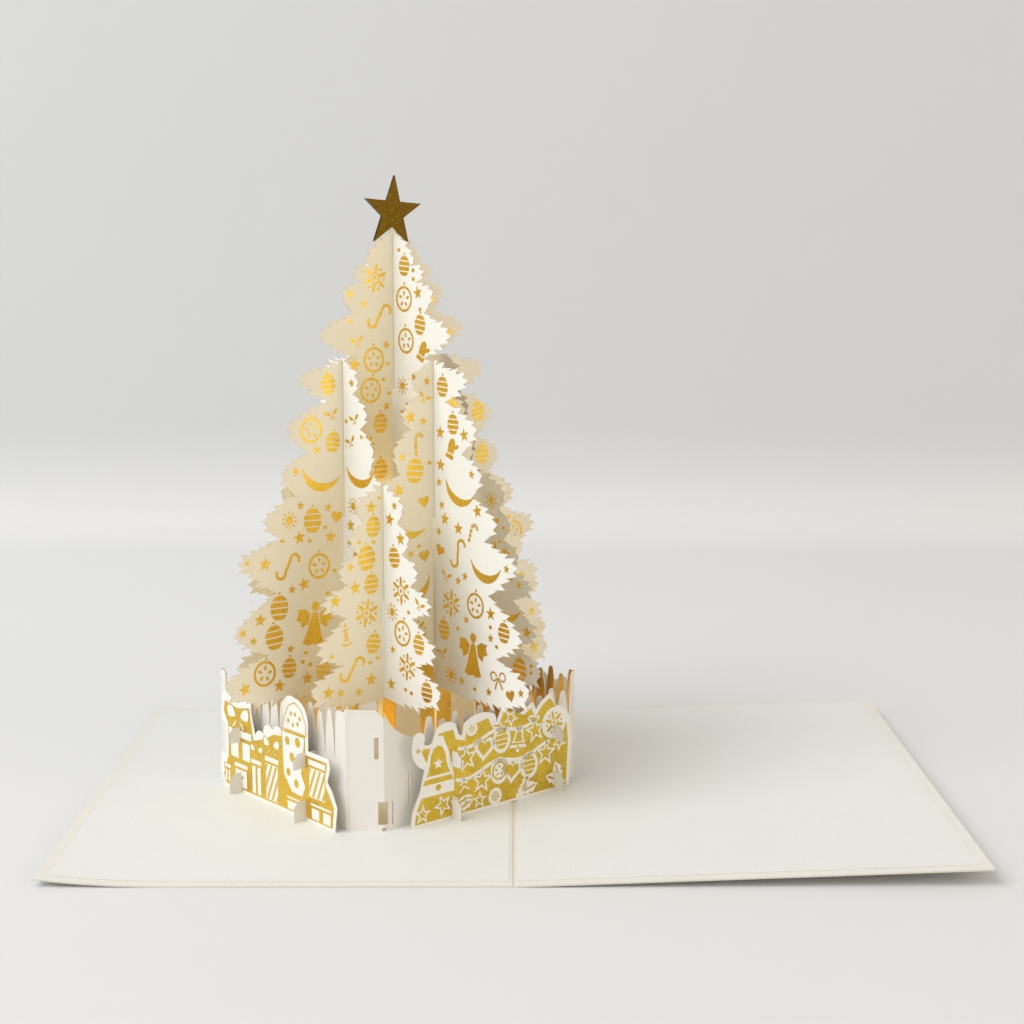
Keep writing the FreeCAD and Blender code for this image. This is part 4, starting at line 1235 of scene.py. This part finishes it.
# Side view of the floor and backdrop, as (y, z) in metres, and half its width
SWEEP = [(-1.6, 0.0), (0.47, 0.0), (0.487, 0.0025), (0.503, 0.008), (0.517, 0.02), (0.526, 0.04),
         (0.53, 0.07), (0.53, 1.6)]
SWEEP_HALF = 2.2
# Width of the camera's sensor, in millimetres, and size of a lamp among the slices, in metres
SENSOR = 36.0
GLOW_SIZE = 0.004
# Colours of the sky on the object, of the room that the camera sees and of the lamps
SKY = (1.0, 0.915, 0.80)
ROOM = (0.98, 0.99, 1.0)
WINDOW = (0.93, 0.97, 1.0)
BOUNCE = (1.0, 0.86, 0.66)
GLOW = (1.0, 0.86, 0.52)
# Lamps among the slices, which stand in for light that real paper lets through: pitches along
# A and B from the tree's middle, height in millimetres and share of the full power.
GLOWS = [(-0.5, 0.5, 22.0, 0.55), (0.5, 0.5, 22.0, 0.55), (-0.5, -0.5, 22.0, 0.55),
         (0.5, -0.5, 22.0, 0.55), (0.0, 1.5, 18.0, 0.2), (-1.5, 0.0, 18.0, 0.2),
         (0.0, -1.5, 18.0, 0.2), (1.5, 0.0, 18.0, 0.2), (-0.5, 0.5, 102.0, 0.6),
         (0.5, 0.5, 72.0, 0.6), (-0.5, -0.5, 72.0, 0.6), (0.5, -0.5, 102.0, 0.6)]


class CARD_OT_stage(bpy.types.Operator):
    """Set the floor, backdrop, lamps and camera"""
    bl_idname = "card.stage"
    bl_label = "Stage"

    def execute(self, context):
        looks = context.scene.card_stage
        scene = context.scene
        self.sweep(looks)
        self.room(scene, looks)
        for name, spot, target, size, power, colour in (
                ("window", (-1.55, -1.02, 1.85), (0.0, 0.05, 0.05), 1.8, looks.key_power, WINDOW),
                ("warm_bounce", (0.9, -0.5, 0.35), (-0.03, 0.0, 0.08), 0.6, looks.fill_power,
                 BOUNCE)):
            lamp = self.lamp(name, "AREA", spot, power, colour)
            lamp.data.size = size
            aim = Vector(target) - Vector(spot)
            lamp.rotation_euler = aim.to_track_quat("-Z", "Y").to_euler()
        for index, (a, b, height, share) in enumerate(GLOWS):
            spot = TREE + ALONG_A * (a * PITCH) + ALONG_B * (b * PITCH) + UP * (height * MM)
            glow = self.lamp("glow_%d" % index, "POINT", spot, looks.glow_power * share, GLOW)
            glow.visible_camera = False
            glow.data.shadow_soft_size = GLOW_SIZE
        eye = bpy.data.cameras.new("eye")
        eye.sensor_width = SENSOR
        eye.lens = looks.lens
        camera = linked("eye", eye, (looks.eye_aside, -looks.eye_distance, looks.eye_height))
        camera.rotation_euler = (math.pi / 2 - looks.pitch_down, 0.0, 0.0)
        scene.camera = camera
        scene.view_settings.view_transform = "Standard"
        return {"FINISHED"}

    @staticmethod
    def sweep(looks):
        """Floor that bends up into the backdrop; light passes through from behind."""
        material, tree, shader = start_material("studio sweep")
        place = object_place(tree)
        patch = ramp(tree, noise(tree, place, 0.5, 2.0), 0.3, 0.7)
        height = node(tree, "ShaderNodeSeparateXYZ", {0: place}).outputs["Z"]
        ground = mix_colour(tree, ramp(tree, height, 0.0, 0.08), looks.floor, looks.wall)
        tint = mix_colour(tree, maths(tree, "MULTIPLY", patch, 0.015), ground, (0, 0, 0))
        wire(tree, shader, {"Base Color": tint, "Roughness": 0.75})
        back = node(tree, "ShaderNodeNewGeometry").outputs["Backfacing"]
        clear = node(tree, "ShaderNodeBsdfTransparent").outputs[0]
        sides = node(tree, "ShaderNodeMixShader", {0: back, 1: shader.outputs[0], 2: clear})
        wire(tree, tree.nodes["Material Output"], {"Surface": sides.outputs[0]})
        work = bmesh.new()
        rows = [[work.verts.new((x, y, z)) for x in (-SWEEP_HALF, SWEEP_HALF)] for y, z in SWEEP]
        for low, high in zip(rows, rows[1:]):
            work.faces.new((low[0], low[1], high[1], high[0])).smooth = True
        floor = linked("studio_sweep", used_up(work, "studio sweep"))
        floor.data.materials.append(material)

    @staticmethod
    def room(scene, looks):
        """World light: an even sky, a room that the camera sees and one that the foil mirrors."""
        scene.world = bpy.data.worlds.new("studio light")
        scene.world.use_nodes = True
        sky = scene.world.node_tree
        rays = node(sky, "ShaderNodeLightPath").outputs
        seen = maths(sky, "MAXIMUM", rays["Is Camera Ray"], rays["Is Transmission Ray"])
        ways = node(sky, "ShaderNodeTexCoord").outputs["Generated"]
        right = ramp(sky, node(sky, "ShaderNodeSeparateXYZ", {0: ways}).outputs["X"], -0.9, 0.7)
        mirror = weighted(sky, [(right, looks.mirror_level - looks.mirror_dark)],
                          looks.mirror_dark)
        level = looks.sky_level
        for mask, value in ((rays["Is Glossy Ray"], mirror), (seen, looks.backdrop_level)):
            rest = maths(sky, "MULTIPLY", maths(sky, "SUBTRACT", 1.0, mask), level)
            level = maths(sky, "ADD", rest, maths(sky, "MULTIPLY", mask, value))
        wire(sky, sky.nodes["Background"], {"Color": mix_colour(sky, seen, SKY, ROOM),
                                            "Strength": level})

    @staticmethod
    def lamp(name, kind, spot, power, colour):
        """New lamp of a kind at a spot, with its power in watts."""
        data = bpy.data.lights.new(name, kind)
        data.energy = power
        data.color = colour
        return linked(name, data, spot)


class CARD_PT_panel(bpy.types.Panel):
    """Lists the steps that finish the card"""
    bl_label = "Pop up card"
    bl_idname = "CARD_PT_panel"
    bl_space_type = "VIEW_3D"
    bl_region_type = "UI"
    bl_category = "Card"

    def draw(self, context):
        for operator in STEPS:
            self.layout.operator(operator.bl_idname)


STEPS = (CARD_OT_stage, CARD_OT_papers, CARD_OT_star, CARD_OT_tree_foil, CARD_OT_stem_foil,
         CARD_OT_relief_print, CARD_OT_lining)
CLASSES = (PaperLooks, FoilLooks, StageLooks) + STEPS + (CARD_PT_panel,)


def register():
    for item in CLASSES:
        bpy.utils.register_class(item)
    bpy.types.Scene.card_paper = bpy.props.PointerProperty(type=PaperLooks)
    bpy.types.Scene.card_foil = bpy.props.PointerProperty(type=FoilLooks)
    bpy.types.Scene.card_stage = bpy.props.PointerProperty(type=StageLooks)


def unregister():
    del bpy.types.Scene.card_stage
    del bpy.types.Scene.card_foil
    del bpy.types.Scene.card_paper
    for item in reversed(CLASSES):
        bpy.utils.unregister_class(item)


def main():
    register()
    for operator in STEPS:
        group, name = operator.bl_idname.split(".")
        getattr(getattr(bpy.ops, group), name)()


if __name__ == "__main__":
    main()
